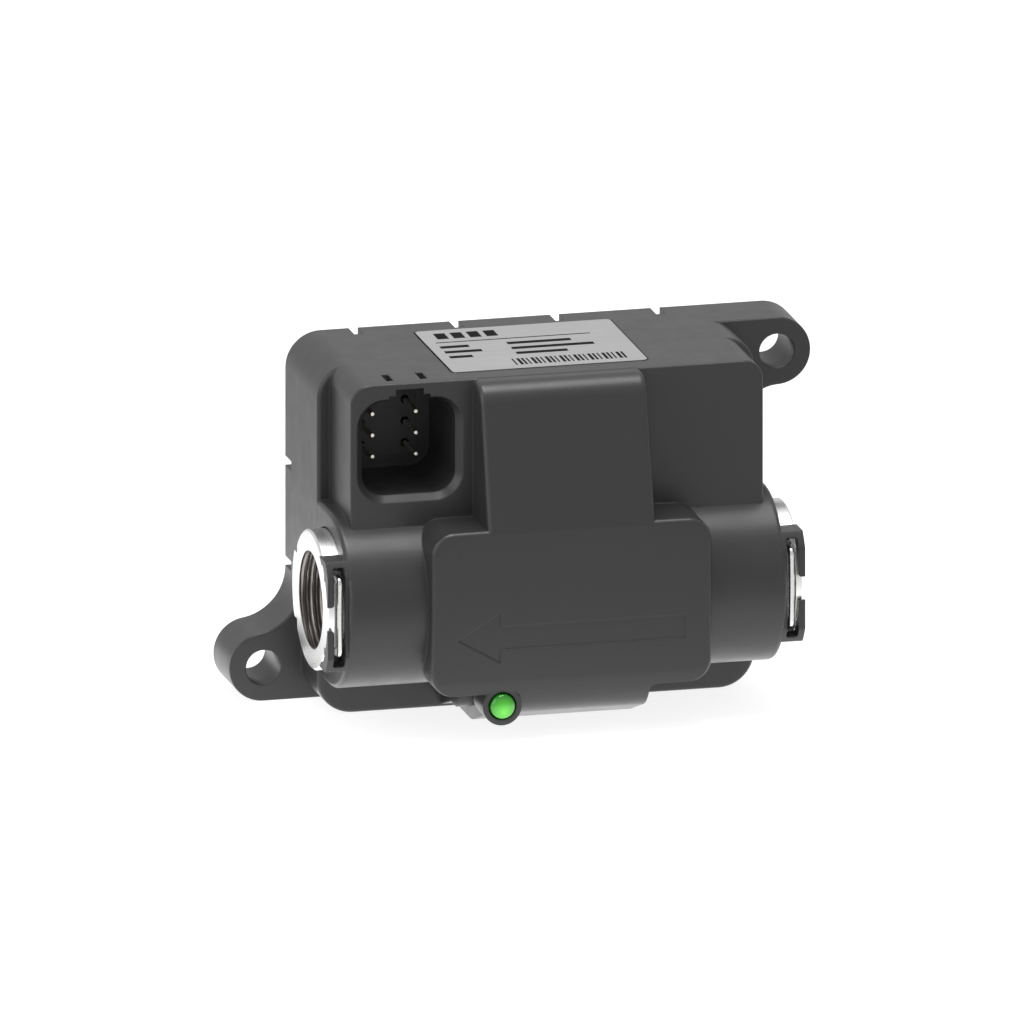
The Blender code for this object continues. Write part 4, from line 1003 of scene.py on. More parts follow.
    def tab(self, side: int) -> bpy.types.Object:
        """Makes the windowed tab at the front of one end.

        Args:
            side: 1 at the inlet, -1 at the outlet.

        Returns:
            The solid.
        """
        middle = self.pipe.forward
        centre = (middle, 0.0)
        top, foot = self.tab_half_height, self.recess_half_height
        high = math.asin(top / self.tab_radius)
        flat = math.acos(self.tab_face / self.tab_radius)
        recess = math.asin(foot / self.tab_inner)
        arm_top = middle + math.sqrt(self.tab_arm ** 2 - top ** 2)
        arm_foot = middle + math.sqrt(self.tab_arm ** 2 - foot ** 2)
        outline = arc(centre, self.tab_radius, -high, -flat, CORNER_STEPS)
        outline += arc(centre, self.tab_radius, flat, high, CORNER_STEPS)
        outline += [(arm_top, top), (arm_foot, foot)]
        outline += arc(centre, self.tab_inner, recess, -recess, 3 * CORNER_STEPS)
        outline += [(arm_foot, -foot), (arm_top, -top)]
        reach = self.half_width + self.tab_reach
        root = self.half_width - self.barrel_edge - OVERLAP
        tab = extrude_along("tab", outline, side * root, side * reach)
        near, far = side * self.window_inner, side * self.window_outer
        beyond, edge = side * (reach + OVERLAP), self.notch_edge
        upper = [(near, self.window_half_height, edge), (far, self.window_half_height, edge),
                 (far, self.notch_half_height, edge), (beyond, self.notch_half_height, 0.0)]
        lower = [(x, -z, radius) for x, z, radius in reversed(upper)]
        window = extrude_forward("window", rounded(upper + lower, CORNER_STEPS // 2), middle,
                                 middle + self.pipe.barrel_radius + OVERLAP)
        return combine(tab, Change.CUT, window)

    def barrel(self) -> bpy.types.Object:
        """Makes the barrel, round in front and straight behind, with its two tabs.

        Returns:
            The solid.
        """
        pipe, back = self.pipe, self.depth - OVERLAP
        outline = [(back, -pipe.barrel_radius)]
        outline += arc((pipe.forward, 0.0), pipe.barrel_radius, -math.pi / 2, math.pi / 2,
                       ROUND_SEGMENTS // 2)
        outline += [(back, pipe.barrel_radius)]
        piece = extrude_along("barrel", outline, -self.half_width, self.half_width)
        for side in (1, -1):
            round_edges(piece, self.barrel_edge, at_side(side, self.half_width))
        return combine(piece, Change.UNITE, self.tab(1), self.tab(-1))

    def pad(self) -> bpy.types.Object:
        """Makes the front pad with its neck and chin.

        Returns:
            The solid.
        """
        wide, chin, low, high = self.pad_half_width, self.chin_half_width, self.pad_bottom, self.pad_top
        root, foot = self.depth - OVERLAP, -self.chin_drop
        corner, fillet = self.pad_radius, self.chin_fillet
        pad = extrude_forward("pad", rounded([
            (-chin, foot - OVERLAP, 0.0), (chin, foot - OVERLAP, 0.0), (chin, low, fillet),
            (wide, low, corner), (wide, high, corner), (-wide, high, corner), (-wide, low, corner),
            (-chin, low, fillet),
        ]), root, self.pad_face)
        round_edges(pad, self.pad_edge, at_front(self.pad_face))
        beyond, cap = self.pad_face + SLIVER, self.pad_top + OVERLAP
        form = extrude_along("front form", rounded([
            (root - OVERLAP, cap, 0.0), (root - OVERLAP, foot, 0.0),
            (self.chin_ramp_forward, foot, self.chin_ramp_radius),
            (beyond, -self.chin_front_drop, self.chin_radius), (beyond, cap, 0.0),
        ]), -wide - OVERLAP, wide + OVERLAP)
        combine(pad, Change.KEEP_COMMON, form)
        neck_top, neck_root = self.top - self.neck_top_drop, self.pipe.forward
        neck = extrude_along("neck", rounded([
            (neck_root, 0.0, 0.0), (self.pad_face, 0.0, 0.0), (self.pad_face, self.pad_top, 0.0),
            (self.neck_head_forward, neck_top, self.neck_head_radius), (neck_root, neck_top, 0.0),
        ]), -self.neck_half_width, self.neck_half_width)
        for side in (1, -1):
            round_edges(neck, self.neck_edge, at_side(side, self.neck_half_width))
        return combine(pad, Change.UNITE, neck)

    def light_shoulder(self) -> bpy.types.Object:
        """Makes the shoulder beside the chin, behind the light's boss.

        Returns:
            The solid.
        """
        rear, front = self.depth - FIT_GAP, self.shoulder_forward
        low, foot = self.pad_bottom - FIT_GAP, self.shoulder_face_foot
        return extrude_along("light shoulder", rounded([
            (rear, low, 0.0), (rear, self.shoulder_foot, 0.0), (self.shoulder_bend, foot, 0.0),
            (front, foot, self.shoulder_radius), (front, low, 0.0),
        ]), self.shoulder_x, self.light_x)

    def chamber(self) -> bpy.types.Object:
        """Makes the space in the neck, pad and chin that takes the coils.

        Returns:
            The solid to cut.
        """
        front, roof = self.pad_face - self.front_wall, self.top - self.wall
        floor = -self.chin_drop + self.chamber_wall
        outline = rounded([
            (self.chamber_back, floor, 0.0), (self.chin_ramp_forward, floor, 0.0),
            (front, -self.chin_front_drop + self.chamber_wall, self.chin_radius - self.front_wall),
            (front, self.pad_top - self.front_wall, 0.0),
            (self.neck_head_forward - self.front_wall, roof, 0.0), (self.chamber_back, roof, 0.0),
        ])
        return extrude_along("chamber", outline, -self.chamber_half_width, self.chamber_half_width)

    def hollow(self) -> list[bpy.types.Object]:
        """Makes the spaces behind the front wall.

        Returns:
            The solids to cut.
        """
        roof = self.top - self.wall
        pocket = rectangle(self.chamber_half_width + self.chamber_wall,
                           self.half_width - self.box_step - self.front_wall, self.pipe.barrel_radius, roof,
                           2 * OVERLAP)
        inner_front = self.depth - self.front_wall
        return [
            extrude_forward("cavity", self.outline(self.wall), -OVERLAP, inner_front),
            extrude_forward("mouth", self.outline(self.rim), -OVERLAP, self.mouth_depth),
            extrude_forward("pocket", pocket, inner_front - OVERLAP, self.box_depth - self.front_wall),
        ]

    def rear_notches(self) -> list[bpy.types.Object]:
        """Makes the cutters of the small notches round the rear edge.

        Returns:
            The solids to cut.
        """
        cutters = []
        half, deep = self.notch_width / 2, self.notch_depth
        for step in (-1.5, -0.5, 0.5, 1.5):
            x = step * self.notch_pitch
            for z in ((self.top - deep, self.top + OVERLAP), (self.bottom - OVERLAP, self.bottom + deep)):
                cutters.append(block("rear notch", (x - half, x + half), (-OVERLAP, self.notch_length), z))
        for step in (-0.5, 0.5):
            z = self.notch_side_z + step * self.notch_pitch
            for side in (-1, 1):
                x = (side * (self.half_width - deep), side * (self.half_width + OVERLAP))
                cutters.append(block("rear notch", x, (-OVERLAP, self.notch_length), (z - half, z + half)))
        return cutters

    def build(self, socket: "Socket", label: "Label", arrow: "FlowArrow") -> bpy.types.Object:
        """Makes the whole moulding.

        Args:
            socket: The plug socket that is cut into it.
            label: The label whose pocket is cut into it.
            arrow: The arrow that is sunk into its pad.

        Returns:
            The solid.
        """
        shell = extrude_forward("housing_moulding", self.outline(0.0), 0.0, self.depth)
        round_edges(shell, self.block_edge, at_front(self.depth))
        half = self.half_width - self.box_step
        box = extrude_forward("front box", rounded([
            (-half, 0.0, 0.0), (half, 0.0, 0.0), (half, self.top, self.box_radius),
            (-half, self.top, self.box_radius),
        ]), self.depth - OVERLAP, self.box_depth)
        round_edges(box, self.box_edge, at_front(self.box_depth))
        combine(shell, Change.UNITE, self.ear(1, 1), self.ear(-1, -1), box, self.pad())
        combine(shell, Change.CUT, *self.hollow())
        boss_face = self.pad_face - self.light_boss_sink
        boss = rod("light boss", on_forward(self.light_x, self.light_z), (self.light_boss_root, boss_face),
                   self.light_boss, 2 * SMALL_SEGMENTS)
        round_edges(boss, FIT_GAP, at_front(boss_face))
        combine(shell, Change.UNITE, self.barrel(), socket.shroud(self), boss, self.light_shoulder())
        combine(shell, Change.CUT, self.chamber(), socket.opening(), socket.floor_window())
        for side in (-1, 1):
            near = side * (self.chamber_half_width - OVERLAP)
            far = side * (self.half_width + self.tab_reach + OVERLAP)
            bore = rod("bore", self.pipe.place, (near, far), self.pipe.barrel_bore, ROUND_SEGMENTS)
            combine(shell, Change.CUT, bore)
        light_hole = rod("light hole", on_forward(self.light_x, self.light_z),
                         (self.pad_face - self.light_depth, self.pad_face + OVERLAP), self.light_hole,
                         2 * SMALL_SEGMENTS)
        combine(shell, Change.CUT, light_hole, *socket.latch_slots(), label.pocket(), arrow.cutter(),
                *self.rear_notches())
        return settle(shell)


@dataclass
class Socket:
    """The plug socket in the front box."""

    x: float = -28.65 * MM
    z: float = 30.5 * MM
    width: float = 18.1 * MM
    height: float = 18.4 * MM
    radius: float = 4.2 * MM
    chamfer: float = 1.3 * MM
    face: float = BOX_FACE
    floor: float = 20.0 * MM
    key_width: float = 8.0 * MM
    key_rise: float = 1.2 * MM
    key_tip_width: float = 5.4 * MM
    key_tip_rise: float = 2.4 * MM
    slot_x: float = 3.3 * MM
    slot_forward: float = 36.4 * MM
    slot_width: float = 1.4 * MM
    slot_length: float = 4.6 * MM
    roof: float = BLOCK_TOP
    floor_wall: float = 3.0 * MM
    shroud_wall: float = 1.5 * MM
    pin_middle: float = 30.1 * MM
    carrier_half_width: float = 6.4 * MM
    carrier_half_height: float = 6.6 * MM

    def shroud(self, housing: Housing) -> bpy.types.Object:
        """Makes the walls that close the socket's space off from the cavity.

        Args:
            housing: The housing that it grows from.

        Returns:
            The solid.
        """
        left = -housing.half_width + housing.wall - OVERLAP
        right = self.x + self.width / 2 + self.shroud_wall
        low = self.z - self.height / 2 - self.shroud_wall
        high = housing.top - housing.wall + OVERLAP
        corner = housing.head_radius - housing.wall + OVERLAP
        outline = rounded([(left, low, 0.0), (right, low, 0.0), (right, high, 0.0), (left, high, corner)])
        return extrude_forward("shroud", outline, self.floor - self.floor_wall, housing.depth)

    def floor_window(self) -> bpy.types.Object:
        """Makes the hole in the socket's floor that takes the pin carrier.

        Returns:
            The solid to cut.
        """
        wide, tall = self.carrier_half_width + 2 * SLIVER, self.carrier_half_height + 2 * SLIVER
        return block("floor window", (self.x - wide, self.x + wide),
                     (self.floor - self.floor_wall - OVERLAP, self.floor + OVERLAP),
                     (self.pin_middle - tall, self.pin_middle + tall))

    def opening(self) -> bpy.types.Object:
        """Makes the socket's space with its key and its chamfered mouth.

        Returns:
            The solid to cut.
        """
        left, right = self.x - self.width / 2, self.x + self.width / 2
        low, high = self.z - self.height / 2, self.z + self.height / 2
        outline = rectangle(left, right, low, high, self.radius)
        space = extrude_forward("socket", outline, self.floor, self.face + OVERLAP)
        grow = self.chamfer
        grown = rectangle(left - grow, right + grow, low - grow, high + grow / 2, self.radius + grow)
        mouth = loft("mouth", [(x, -(self.face - grow), z) for x, z in outline],
                     [(x, -(self.face + SLIVER), z) for x, z in grown])
        keys = []
        for width, rise in ((self.key_width, self.key_rise), (self.key_tip_width, self.key_tip_rise)):
            keys.append(block("key", (self.x - width / 2, self.x + width / 2),
                              (self.floor, self.face + OVERLAP), (self.z, high + rise)))
        return combine(space, Change.UNITE, mouth, *keys)

    def latch_slots(self) -> list[bpy.types.Object]:
        """Makes the two latch slots in the roof over the socket.

        Returns:
            The solids to cut.
        """
        cutters = []
        back = self.slot_forward - self.slot_length / 2
        for offset in (-self.slot_x, self.slot_x):
            middle = self.x + offset
            cutters.append(block("latch slot", (middle - self.slot_width / 2, middle + self.slot_width / 2),
                                 (back, back + self.slot_length), (self.z, self.roof + OVERLAP)))
        return cutters


@dataclass
class Label:
    """The metal label in its pocket on the top face."""

    half_width: float = 19.0 * MM
    back: float = 6.0 * MM
    front: float = 36.0 * MM
    radius: float = 1.0 * MM
    pocket_floor: float = 42.9 * MM
    roof: float = BLOCK_TOP

    def pocket(self) -> bpy.types.Object:
        """Makes the shallow pocket that takes the label.

        Returns:
            The solid to cut.
        """
        gap = FIT_GAP
        outline = rectangle(-self.half_width - gap, self.half_width + gap, self.back - gap, self.front + gap,
                            self.radius + gap)
        return extrude_up("label pocket", outline, self.pocket_floor, self.roof + OVERLAP)


@dataclass
class FlowArrow:
    """The shallow arrow in the pad, which points along the flow."""

    tip_x: float = -22.3 * MM
    head_x: float = -14.0 * MM
    tail_x: float = 22.0 * MM
    z: float = -4.6 * MM
    head_half: float = 4.85 * MM
    shaft_half: float = 2.25 * MM
    face: float = PAD_FACE
    sink: float = 0.2 * MM

    def cutter(self) -> bpy.types.Object:
        """Makes the arrow's space.

        Returns:
            The solid to cut.
        """
        upper = [(self.tip_x, 0.0), (self.head_x, self.head_half), (self.head_x, self.shaft_half),
                 (self.tail_x, self.shaft_half)]
        lower = [(x, -z) for x, z in reversed(upper[1:])]
        outline = [(x, self.z + z) for x, z in upper + lower]
        return extrude_forward("arrow", outline, self.face - self.sink, self.face + OVERLAP)


@dataclass
class ThreadedFitting:
    """A stainless pipe fitting with its lugged flange, clip slot and cut thread."""

    pipe: Pipe = field(default_factory=Pipe)
    face: float = 46.1 * MM
    radius: float = 13.4 * MM
    flange: float = 1.15 * MM
    shoulder: float = 33.6 * MM
    spigot_end: float = 24.0 * MM
    spigot_radius: float = 9.0 * MM
    bore: float = 6.5 * MM
    minor: float = 9.3 * MM
    thread_depth: float = 0.9 * MM
    thread_pitch: float = 1.814 * MM
    thread_length: float = 12.0 * MM
    mouth: float = 0.2 * MM
    edge: float = 0.35 * MM
    flat: float = 10.3 * MM
    lug_half: float = 6.46 * MM
    lug_radius: float = 14.1 * MM
    rings_per_turn: int = 12
    bore_margin: float = 0.018 * MM

    def thread_rings(self) -> list[tuple[float, Radius]]:
        """Works out the rings of the threaded bore, from the mouth inward.

        Returns:
            (along, radius) points, where the radius winds with the angle.
        """
        rings: list[tuple[float, Radius]] = []
        run = self.thread_length - self.mouth
        count = round(run / self.thread_pitch * self.rings_per_turn)
        for i in range(count + 1):
            inward = self.mouth + run * i / count
            fade = min(1.0, (self.thread_length - inward) / self.thread_pitch,
                       2 * (inward - self.mouth) / self.thread_pitch)

            def winding(angle: float, inward: float = inward, fade: float = fade) -> float:
                """Returns the bore's radius at an angle."""
                phase = inward / self.thread_pitch + angle / (2 * math.pi)
                return self.minor + self.thread_depth * fade * (1 - math.cos(2 * math.pi * phase)) / 2

            rings.append((self.face - inward, winding))
        return rings

    def build(self, name: str, side: int, clip: "Clip") -> bpy.types.Object:
        """Makes one fitting.

        Args:
            name: Name of the piece.
            side: 1 at the inlet, -1 at the outlet.
            clip: The clip whose slot is cut into it.

        Returns:
            The solid.
        """
        face, edge = self.face, self.edge
        profile: list[tuple[float, Radius]] = [
            (self.spigot_end, self.bore), (self.spigot_end, self.spigot_radius),
            (self.shoulder, self.spigot_radius), (self.shoulder, self.radius),
            (face - edge, self.radius), (face, self.radius - edge),
            (face, self.minor + self.mouth), (face - self.mouth / 2, self.minor + self.mouth / 4),
        ]
        profile += self.thread_rings()
        profile += [(face - self.thread_length, self.bore)]
        placed = [(side * along, radius) for along, radius in profile]
        piece = turn_profile(name, placed, self.pipe.place, ROUND_SEGMENTS, closed=True)
        for facing in (1, -1):
            self.shape_flange(piece, side, facing)
        ends = (side * self.pipe.slot_inner, side * self.pipe.slot_outer)
        slot = extrude_along("slot", clip.fork(FIT_GAP), *ends)
        return settle(combine(piece, Change.CUT, slot))

    def in_bore(self, point: Vector) -> bool:
        """Returns whether a point lies on the thread or the bore behind it."""
        reach = math.hypot(point.y + self.pipe.forward, point.z)
        widest = self.minor + self.thread_depth + self.bore_margin
        return reach < widest and abs(point.x) < self.face - self.mouth / 2

    def shape_flange(self, piece: bpy.types.Object, side: int, facing: int) -> None:
        """Cuts one flat on the flange and adds its lug.

        Args:
            piece: The fitting.
            side: 1 at the inlet, -1 at the outlet.
            facing: 1 for the front of the flange, -1 for its rear.
        """
        centre = (self.pipe.forward, 0.0)
        flat = self.pipe.forward + facing * self.flat
        beyond = self.pipe.forward + facing * (self.lug_radius + OVERLAP)
        tall = math.sqrt(self.radius ** 2 - self.flat ** 2) + OVERLAP
        inner = side * (self.face - self.flange - FIT_GAP)
        cutter = block("flat", (inner, side * (self.face + OVERLAP)), (flat, beyond), (-tall, tall))
        combine(piece, Change.CUT, cutter)
        reach = math.asin(self.lug_half / self.lug_radius)
        turn = 0.0 if facing > 0 else math.pi
        outline = arc(centre, self.lug_radius, turn - reach, turn + reach, CORNER_STEPS)
        root = flat - facing * FIT_GAP
        outline += [(root, outline[-1][1]), (root, outline[0][1])]
        lug = extrude_along("lug", outline, inner, side * (self.face - TOLERANCE))
        combine(piece, Change.UNITE, lug)


@dataclass
class Clip:
    """The spring clip: a fork in a fitting's slot, whose bridge shows in the tab's window."""

    pipe: Pipe = field(default_factory=Pipe)
    face: float = 14.7 * MM
    seat: float = 11.9 * MM
    leg_end: float = 8.5 * MM
    half_height: float = 7.9 * MM
    leg: float = 1.3 * MM
    corner: float = 1.5 * MM
    edge: float = 0.4 * MM
    play: float = 0.4 * MM

    def fork(self, gap: float) -> list[Point2]:
        """Gives the fork's outline.

        Args:
            gap: How far it grows. A grown one has sharp corners.

        Returns:
            Points (forward, z).
        """
        front = self.pipe.forward + self.face + gap
        seat = self.pipe.forward + self.seat - gap
        end = self.pipe.forward + self.leg_end - gap
        outer = self.half_height + gap
        inner = self.half_height - self.leg - gap
        corner = 0.0 if gap > 0.0 else self.corner
        return rounded([
            (end, -outer, 0.0), (front, -outer, corner), (front, outer, corner), (end, outer, 0.0),
            (end, inner, 0.0), (seat, inner, 0.0), (seat, -inner, 0.0), (end, -inner, 0.0),
        ])

    def build(self, name: str, side: int) -> bpy.types.Object:
        """Makes one clip.

        Args:
            name: Name of the piece.
            side: 1 at the inlet, -1 at the outlet.

        Returns:
            The solid.
        """
        inner, outer = self.pipe.slot_inner + self.play, self.pipe.slot_outer - self.play
        piece = extrude_along(name, self.fork(0.0), side * inner, side * outer)
        round_edges(piece, self.edge, at_side(side, outer))
        round_edges(piece, self.edge, at_side(-side, -inner))
        return settle(piece)


@dataclass
class Pin:
    """A connector pin with a rounded tip."""

    radius: float = 0.55 * MM
    tip_edge: float = 0.3 * MM
    tip: float = 29.0 * MM
    tail: float = 6.9 * MM

    def build(self, name: str, x: float, z: float) -> bpy.types.Object:
        """Makes one pin.

        Args:
            name: Name of the piece.
            x: x of its axis.
            z: z of its axis.

        Returns:
            The solid.
        """
        profile: list[tuple[float, Radius]] = [(self.tail, 0.0), (self.tail, self.radius)]
        steps = CORNER_STEPS // 2
        for i in range(steps + 1):
            angle = math.pi / 2 * i / steps
            profile.append((self.tip - self.tip_edge * (1 - math.sin(angle)),
                            self.radius - self.tip_edge * (1 - math.cos(angle))))
        profile.append((self.tip, 0.0))
        return settle(turn_profile(name, profile, on_forward(x, z), SMALL_SEGMENTS // 2))


@dataclass
class LightLens:
    """The domed end of the light guide and its rod."""

    x: float = LIGHT_X
    z: float = LIGHT_Z
    radius: float = 2.4 * MM
    rod_radius: float = 1.7 * MM
    dome: float = 53.6 * MM
    back: float = 47.6 * MM
    rod_end: float = 11.9 * MM

    def build(self, name: str) -> bpy.types.Object:
        """Makes the light guide.

        Args:
            name: Name of the piece.

        Returns:
            The solid.
        """
        shoulder = self.dome - self.radius / 2
        profile: list[tuple[float, Radius]] = [
            (self.rod_end, 0.0), (self.rod_end, self.rod_radius), (self.back, self.rod_radius),
            (self.back, self.radius),
        ]
        for i in range(2 * CORNER_STEPS):
            angle = math.pi / 2 * i / (2 * CORNER_STEPS)
            rise = (self.dome - shoulder) * math.sin(angle)
            profile.append((shoulder + rise, self.radius * math.cos(angle)))
        profile.append((self.dome, 0.0))
        return settle(turn_profile(name, profile, on_forward(self.x, self.z), SMALL_SEGMENTS))


@dataclass
class LabelPrint:
    """Plain rules and bars on the label, in ink."""

    label: Label = field(default_factory=Label)
    lift: float = 0.015 * MM
    margin: float = 2.0 * MM
    rule_back: float = 14.6 * MM
    rule_thickness: float = 0.45 * MM
    rule_short: float = 4.0 * MM
    squares: int = 4
    square_start: float = 1.0 * MM
    square_pitch: float = 3.2 * MM
    square_width: float = 2.2 * MM
    square_back: float = 8.4 * MM
    square_front: float = 12.4 * MM
    row_shares: tuple[float, ...] = (0.62, 0.8, 0.5)
    row_back: float = 17.4 * MM
    row_pitch: float = 3.6 * MM
    row_thickness: float = 1.6 * MM
    left_row: float = 9.0 * MM
    right_row_start: float = 13.0 * MM
    right_row: float = 20.0 * MM
    bars: int = 24
    bar_start: float = 11.0 * MM
    bar_pitch: float = 0.92 * MM
    bar_width: float = 0.3 * MM
    bar_widening: float = 0.14 * MM
    bar_back: float = 29.2 * MM
    bar_front: float = 33.6 * MM

    def build(self, name: str) -> bpy.types.Object:
        """Makes all the marks as one piece, just over the label's face.

        Args:
            name: Name of the piece.

        Returns:
            The piece.
        """
        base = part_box("top_label")[1].z
        shape = bmesh.new()
        for left, right, back, front in self.marks():
            corners = ((left, back), (right, back), (right, front), (left, front))
            low = [shape.verts.new((x, -f, base)) for x, f in corners]
            high = [shape.verts.new((x, -f, base + self.lift)) for x, f in corners]
            shape.faces.new(low)
            shape.faces.new(high)
            for i in range(4):
                j = (i + 1) % 4
                shape.faces.new((low[i], low[j], high[j], high[i]))
        return new_piece(name, shape)

    def marks(self) -> list[tuple[float, float, float, float]]:
        """Lists the marks.

        Returns:
            Left, right, back and front of each mark.
        """
        left, right = self.margin - self.label.half_width, self.label.half_width - self.margin
        marks = [(left, right - self.rule_short, self.rule_back, self.rule_back + self.rule_thickness)]
        for step in range(self.squares):
            start = left + self.square_start + self.square_pitch * step
            marks.append((start, start + self.square_width, self.square_back, self.square_front))
        for row, share in enumerate(self.row_shares):
            back = self.row_back + self.row_pitch * row
            front = back + self.row_thickness
            middle = left + self.right_row_start
            marks.append((left, left + self.left_row * share, back, front))
            marks.append((middle, middle + self.right_row * share, back, front))
        for bar in range(self.bars):
            start = left + self.bar_start + self.bar_pitch * bar
            width = self.bar_width + self.bar_widening * (bar * 5 % 3)
            marks.append((start, start + width, self.bar_back, self.bar_front))
        return marks


# The rest of the meter keeps its packed form and gets a finish.
PLAIN_NODES: dict[str, Finish] = {
    "rear_cover": BLACK_MOULDING,
    "cover_gasket": SEAL_RUBBER,
    "measuring_tube": PALE_MOULDING,
    "inlet_seal_ring": SEAL_RUBBER,
    "outlet_seal_ring": SEAL_RUBBER,
    "front_electrode": SCREW_STEEL,
    "rear_electrode": SCREW_STEEL,
    "front_electrode_seal": SEAL_RUBBER,
    "rear_electrode_seal": SEAL_RUBBER,
    "front_electrode_nut": SCREW_STEEL,
    "rear_electrode_nut": SCREW_STEEL,
    "upper_pole": SOFT_IRON,
    "lower_pole": SOFT_IRON,
    "upper_bobbin": PALE_MOULDING,
    "lower_bobbin": PALE_MOULDING,
    "upper_coil": COPPER,
    "lower_coil": COPPER,
    "upper_pole_screw": SCREW_STEEL,
    "lower_pole_screw": SCREW_STEEL,
    "yoke": SOFT_IRON,
    "circuit_board": LAMINATE,
    "board_screw_1": SCREW_STEEL,
    "board_screw_2": SCREW_STEEL,
    "board_screw_3": SCREW_STEEL,
    "board_screw_4": SCREW_STEEL,
    "processor_chip": PACKAGE,
    "amplifier_chip": PACKAGE,
    "driver_chip": PACKAGE,
    "coil_capacitor": CAN,
    "pin_carrier": CARRIER_MOULDING,
    "status_led": LED_PACKAGE,
    "top_label": LABEL_FOIL,
}


@dataclass(frozen=True)
class Lamp:
    """A soft square lamp that faces the meter.

    Attributes:
        name: Name of the lamp.
        place: Its place.
        size: Length of its side.
        power: Its power in watts.
    """

    name: str
    place: Point3
    size: float
    power: float

    def hang(self) -> None:
        """Adds the lamp to the scene."""
        data = bpy.data.lights.new(self.name, "AREA")
        data.size = self.size
        data.energy = self.power
        lamp = bpy.data.objects.new(self.name, data)
        bpy.context.scene.collection.objects.link(lamp)
        lamp.location = self.place
        lamp.rotation_euler = Vector(self.place).to_track_quat("Z", "Y").to_euler()


LEFT_LAMP = Lamp("left lamp", (-0.9, -0.3, 0.45), 0.8, 3.2)
OVERHEAD_LAMP = Lamp("overhead lamp", (0.0, -0.05, 1.5), 0.8, 18.0)


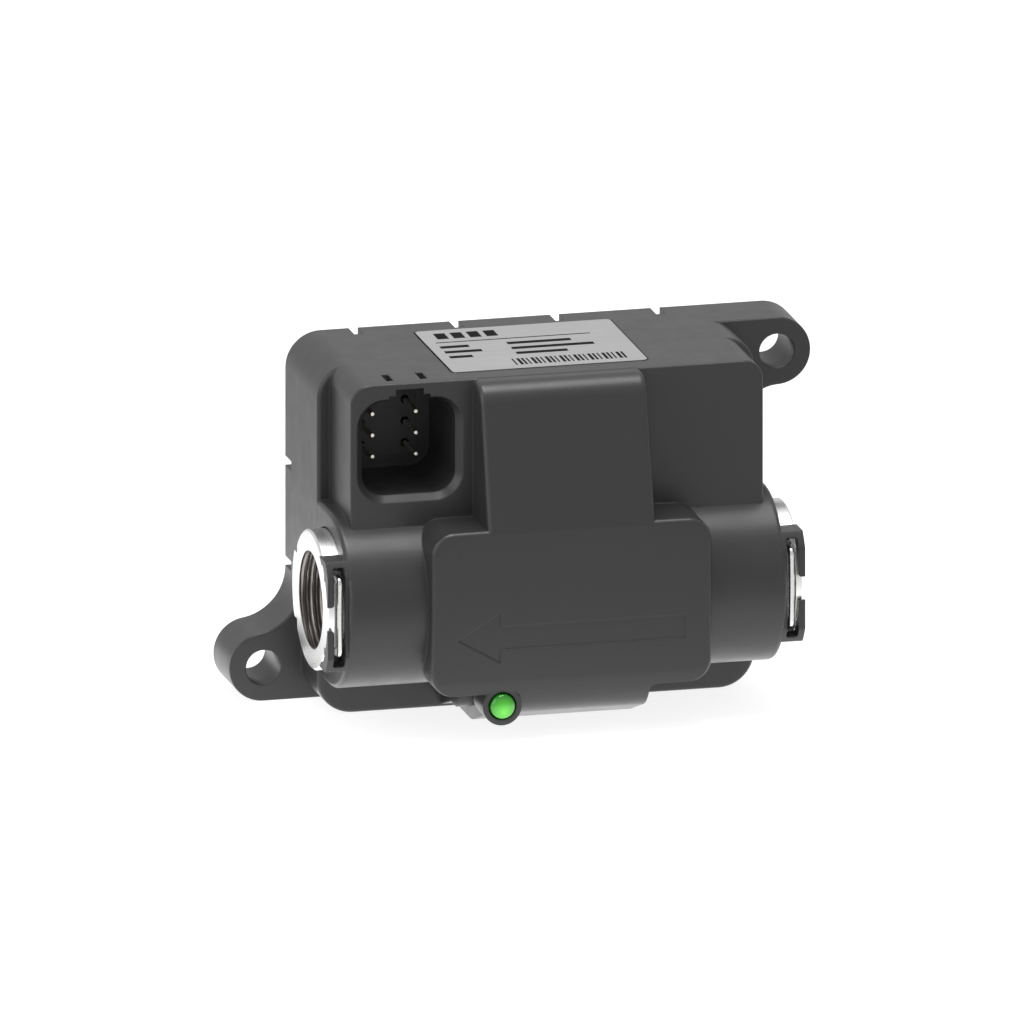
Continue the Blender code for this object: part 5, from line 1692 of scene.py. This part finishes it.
@dataclass
class Studio:
    """The pale floor, the soft lamps and the camera."""

    azimuth: float = math.radians(14.2)
    elevation: float = math.radians(15.3)
    view_width: float = 193.39 * MM
    shift_right: float = 1.53 * MM
    shift_up: float = 5.06 * MM
    distance: float = 0.8
    sight: float = 10.0
    floor_size: float = 6.0
    floor_thickness: float = 10.0 * MM
    fill: float = 0.65
    floor_tone: float = 0.35
    floor_glow: float = 0.85
    # Floor glow that only mirrorlike rays see, far from and near the meter: painted reflection on the
    # meter's undersides
    far_reflection_glow: float = 0.35
    near_reflection_glow: float = 2.0
    reflection_glow_reach: float = 160.0 * MM

    def camera(self) -> None:
        """Places the camera at the photograph's angle."""
        turn, rise = self.azimuth, self.elevation
        right = Vector((math.cos(turn), -math.sin(turn), 0.0))
        up = Vector((math.sin(turn) * math.sin(rise), math.cos(turn) * math.sin(rise), math.cos(rise)))
        away = Vector((-math.sin(turn) * math.cos(rise), -math.cos(turn) * math.cos(rise), math.sin(rise)))
        data = bpy.data.cameras.new("camera")
        data.type = "ORTHO"
        data.ortho_scale = self.view_width
        data.clip_end = self.sight
        camera = bpy.data.objects.new("camera", data)
        bpy.context.scene.collection.objects.link(camera)
        camera.location = right * self.shift_right + up * self.shift_up + away * self.distance
        camera.rotation_euler = away.to_track_quat("Z", "Y").to_euler()
        bpy.context.scene.camera = camera

    def floor(self, level: float) -> None:
        """Lays the pale floor.

        Args:
            level: Its height.
        """
        half = self.floor_size / 2
        floor = extrude_up("floor", rectangle(-half, half, -half, half), level - self.floor_thickness, level)
        floor.data.materials.append(self.floor_finish())

    def floor_finish(self) -> bpy.types.Material:
        """Makes the floor's finish: pale, with a glow that the camera sees and a painted reflection that
        mirrorlike rays see, strongest under the meter.

        Returns:
            The material.
        """
        material = bpy.data.materials.new("pale floor")
        material.use_nodes = True
        tree = material.node_tree
        shader = tree.nodes["Principled BSDF"]
        shader.inputs["Base Color"].default_value = (self.floor_tone, self.floor_tone, self.floor_tone, 1.0)
        shader.inputs["Roughness"].default_value = 1.0
        shader.inputs["Specular IOR Level"].default_value = 0.0
        shader.inputs["Emission Color"].default_value = (1.0, 1.0, 1.0, 1.0)
        path = add_node(tree, "LightPath")
        seen = add_math(tree, "MULTIPLY", self.floor_glow)
        total = add_math(tree, "MULTIPLY_ADD")
        # Painted reflection: mirrorlike rays see the floor glow more strongly near the meter
        ranger = add_node(tree, "MapRange", {"To Min": self.far_reflection_glow, "To Max": self.near_reflection_glow})
        flat_scale = (1 / self.reflection_glow_reach, 1 / self.reflection_glow_reach, 0.0)
        tree.links.new(fade_from(tree, (0.0, 0.0, 0.0), flat_scale), ranger.inputs["Value"])
        tree.links.new(ranger.outputs["Result"], total.inputs[1])
        tree.links.new(path.outputs["Is Camera Ray"], seen.inputs[0])
        tree.links.new(path.outputs["Is Glossy Ray"], total.inputs[0])
        tree.links.new(seen.outputs[0], total.inputs[2])
        tree.links.new(total.outputs[0], shader.inputs["Emission Strength"])
        return material

    def world(self) -> None:
        """Surrounds the meter with even white light."""
        world = bpy.data.worlds.new("studio")
        world.use_nodes = True
        bpy.context.scene.world = world
        background = world.node_tree.nodes["Background"]
        background.inputs["Color"].default_value = (1.0, 1.0, 1.0, 1.0)
        background.inputs["Strength"].default_value = self.fill

    def build(self) -> None:
        """Sets up the whole studio."""
        self.camera()
        self.world()
        self.floor(CAD_BOX[0][2])
        for lamp in (LEFT_LAMP, OVERHEAD_LAMP):
            lamp.hang()
        bpy.context.scene.view_settings.view_transform = "Standard"


def pin_places() -> list[Point2]:
    """Gives the place of each connector pin, in the order of their numbers.

    Returns:
        Points (x, z).
    """
    places = []
    for number in range(1, 7):
        low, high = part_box(f"connector_pin_{number}")
        places.append(((low.x + high.x) / 2, (low.z + high.z) / 2))
    return places


def main() -> None:
    """Builds the studio and every piece of the meter in order."""
    logging.basicConfig(level=logging.INFO, format="%(name)s %(message)s")
    Studio().build()
    wardrobe = Wardrobe()
    for node, finish in PLAIN_NODES.items():
        wardrobe.dress(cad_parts[node], finish)
    housing = Housing()
    label = Label()
    wardrobe.add(housing.build(Socket(), label, FlowArrow()), BLACK_MOULDING, "main_housing")
    for end, side in (("inlet", 1), ("outlet", -1)):
        clip = Clip()
        threaded = ThreadedFitting()
        fitting = threaded.build(f"{end}_threaded_fitting", side, clip)
        wardrobe.add(fitting, STAINLESS, f"{end}_fitting")
        # The thread and bore get the darker steel: painted shade inside the bore
        wardrobe.dress_part(fitting, BORE_SHADE_STEEL, threaded.in_bore)
        wardrobe.add(clip.build(f"{end}_spring_clip", side), SPRING_STEEL, f"{end}_clip")
    for number, (x, z) in enumerate(pin_places(), start=1):
        wardrobe.add(Pin().build(f"plated_pin_{number}", x, z), PIN_PLATING, f"connector_pin_{number}")
    wardrobe.add(LightLens().build("light_lens"), GREEN_LENS, "light_guide")
    wardrobe.add(LabelPrint(label).build("label_print"), LABEL_INK)


if __name__ == "__main__":
    main()
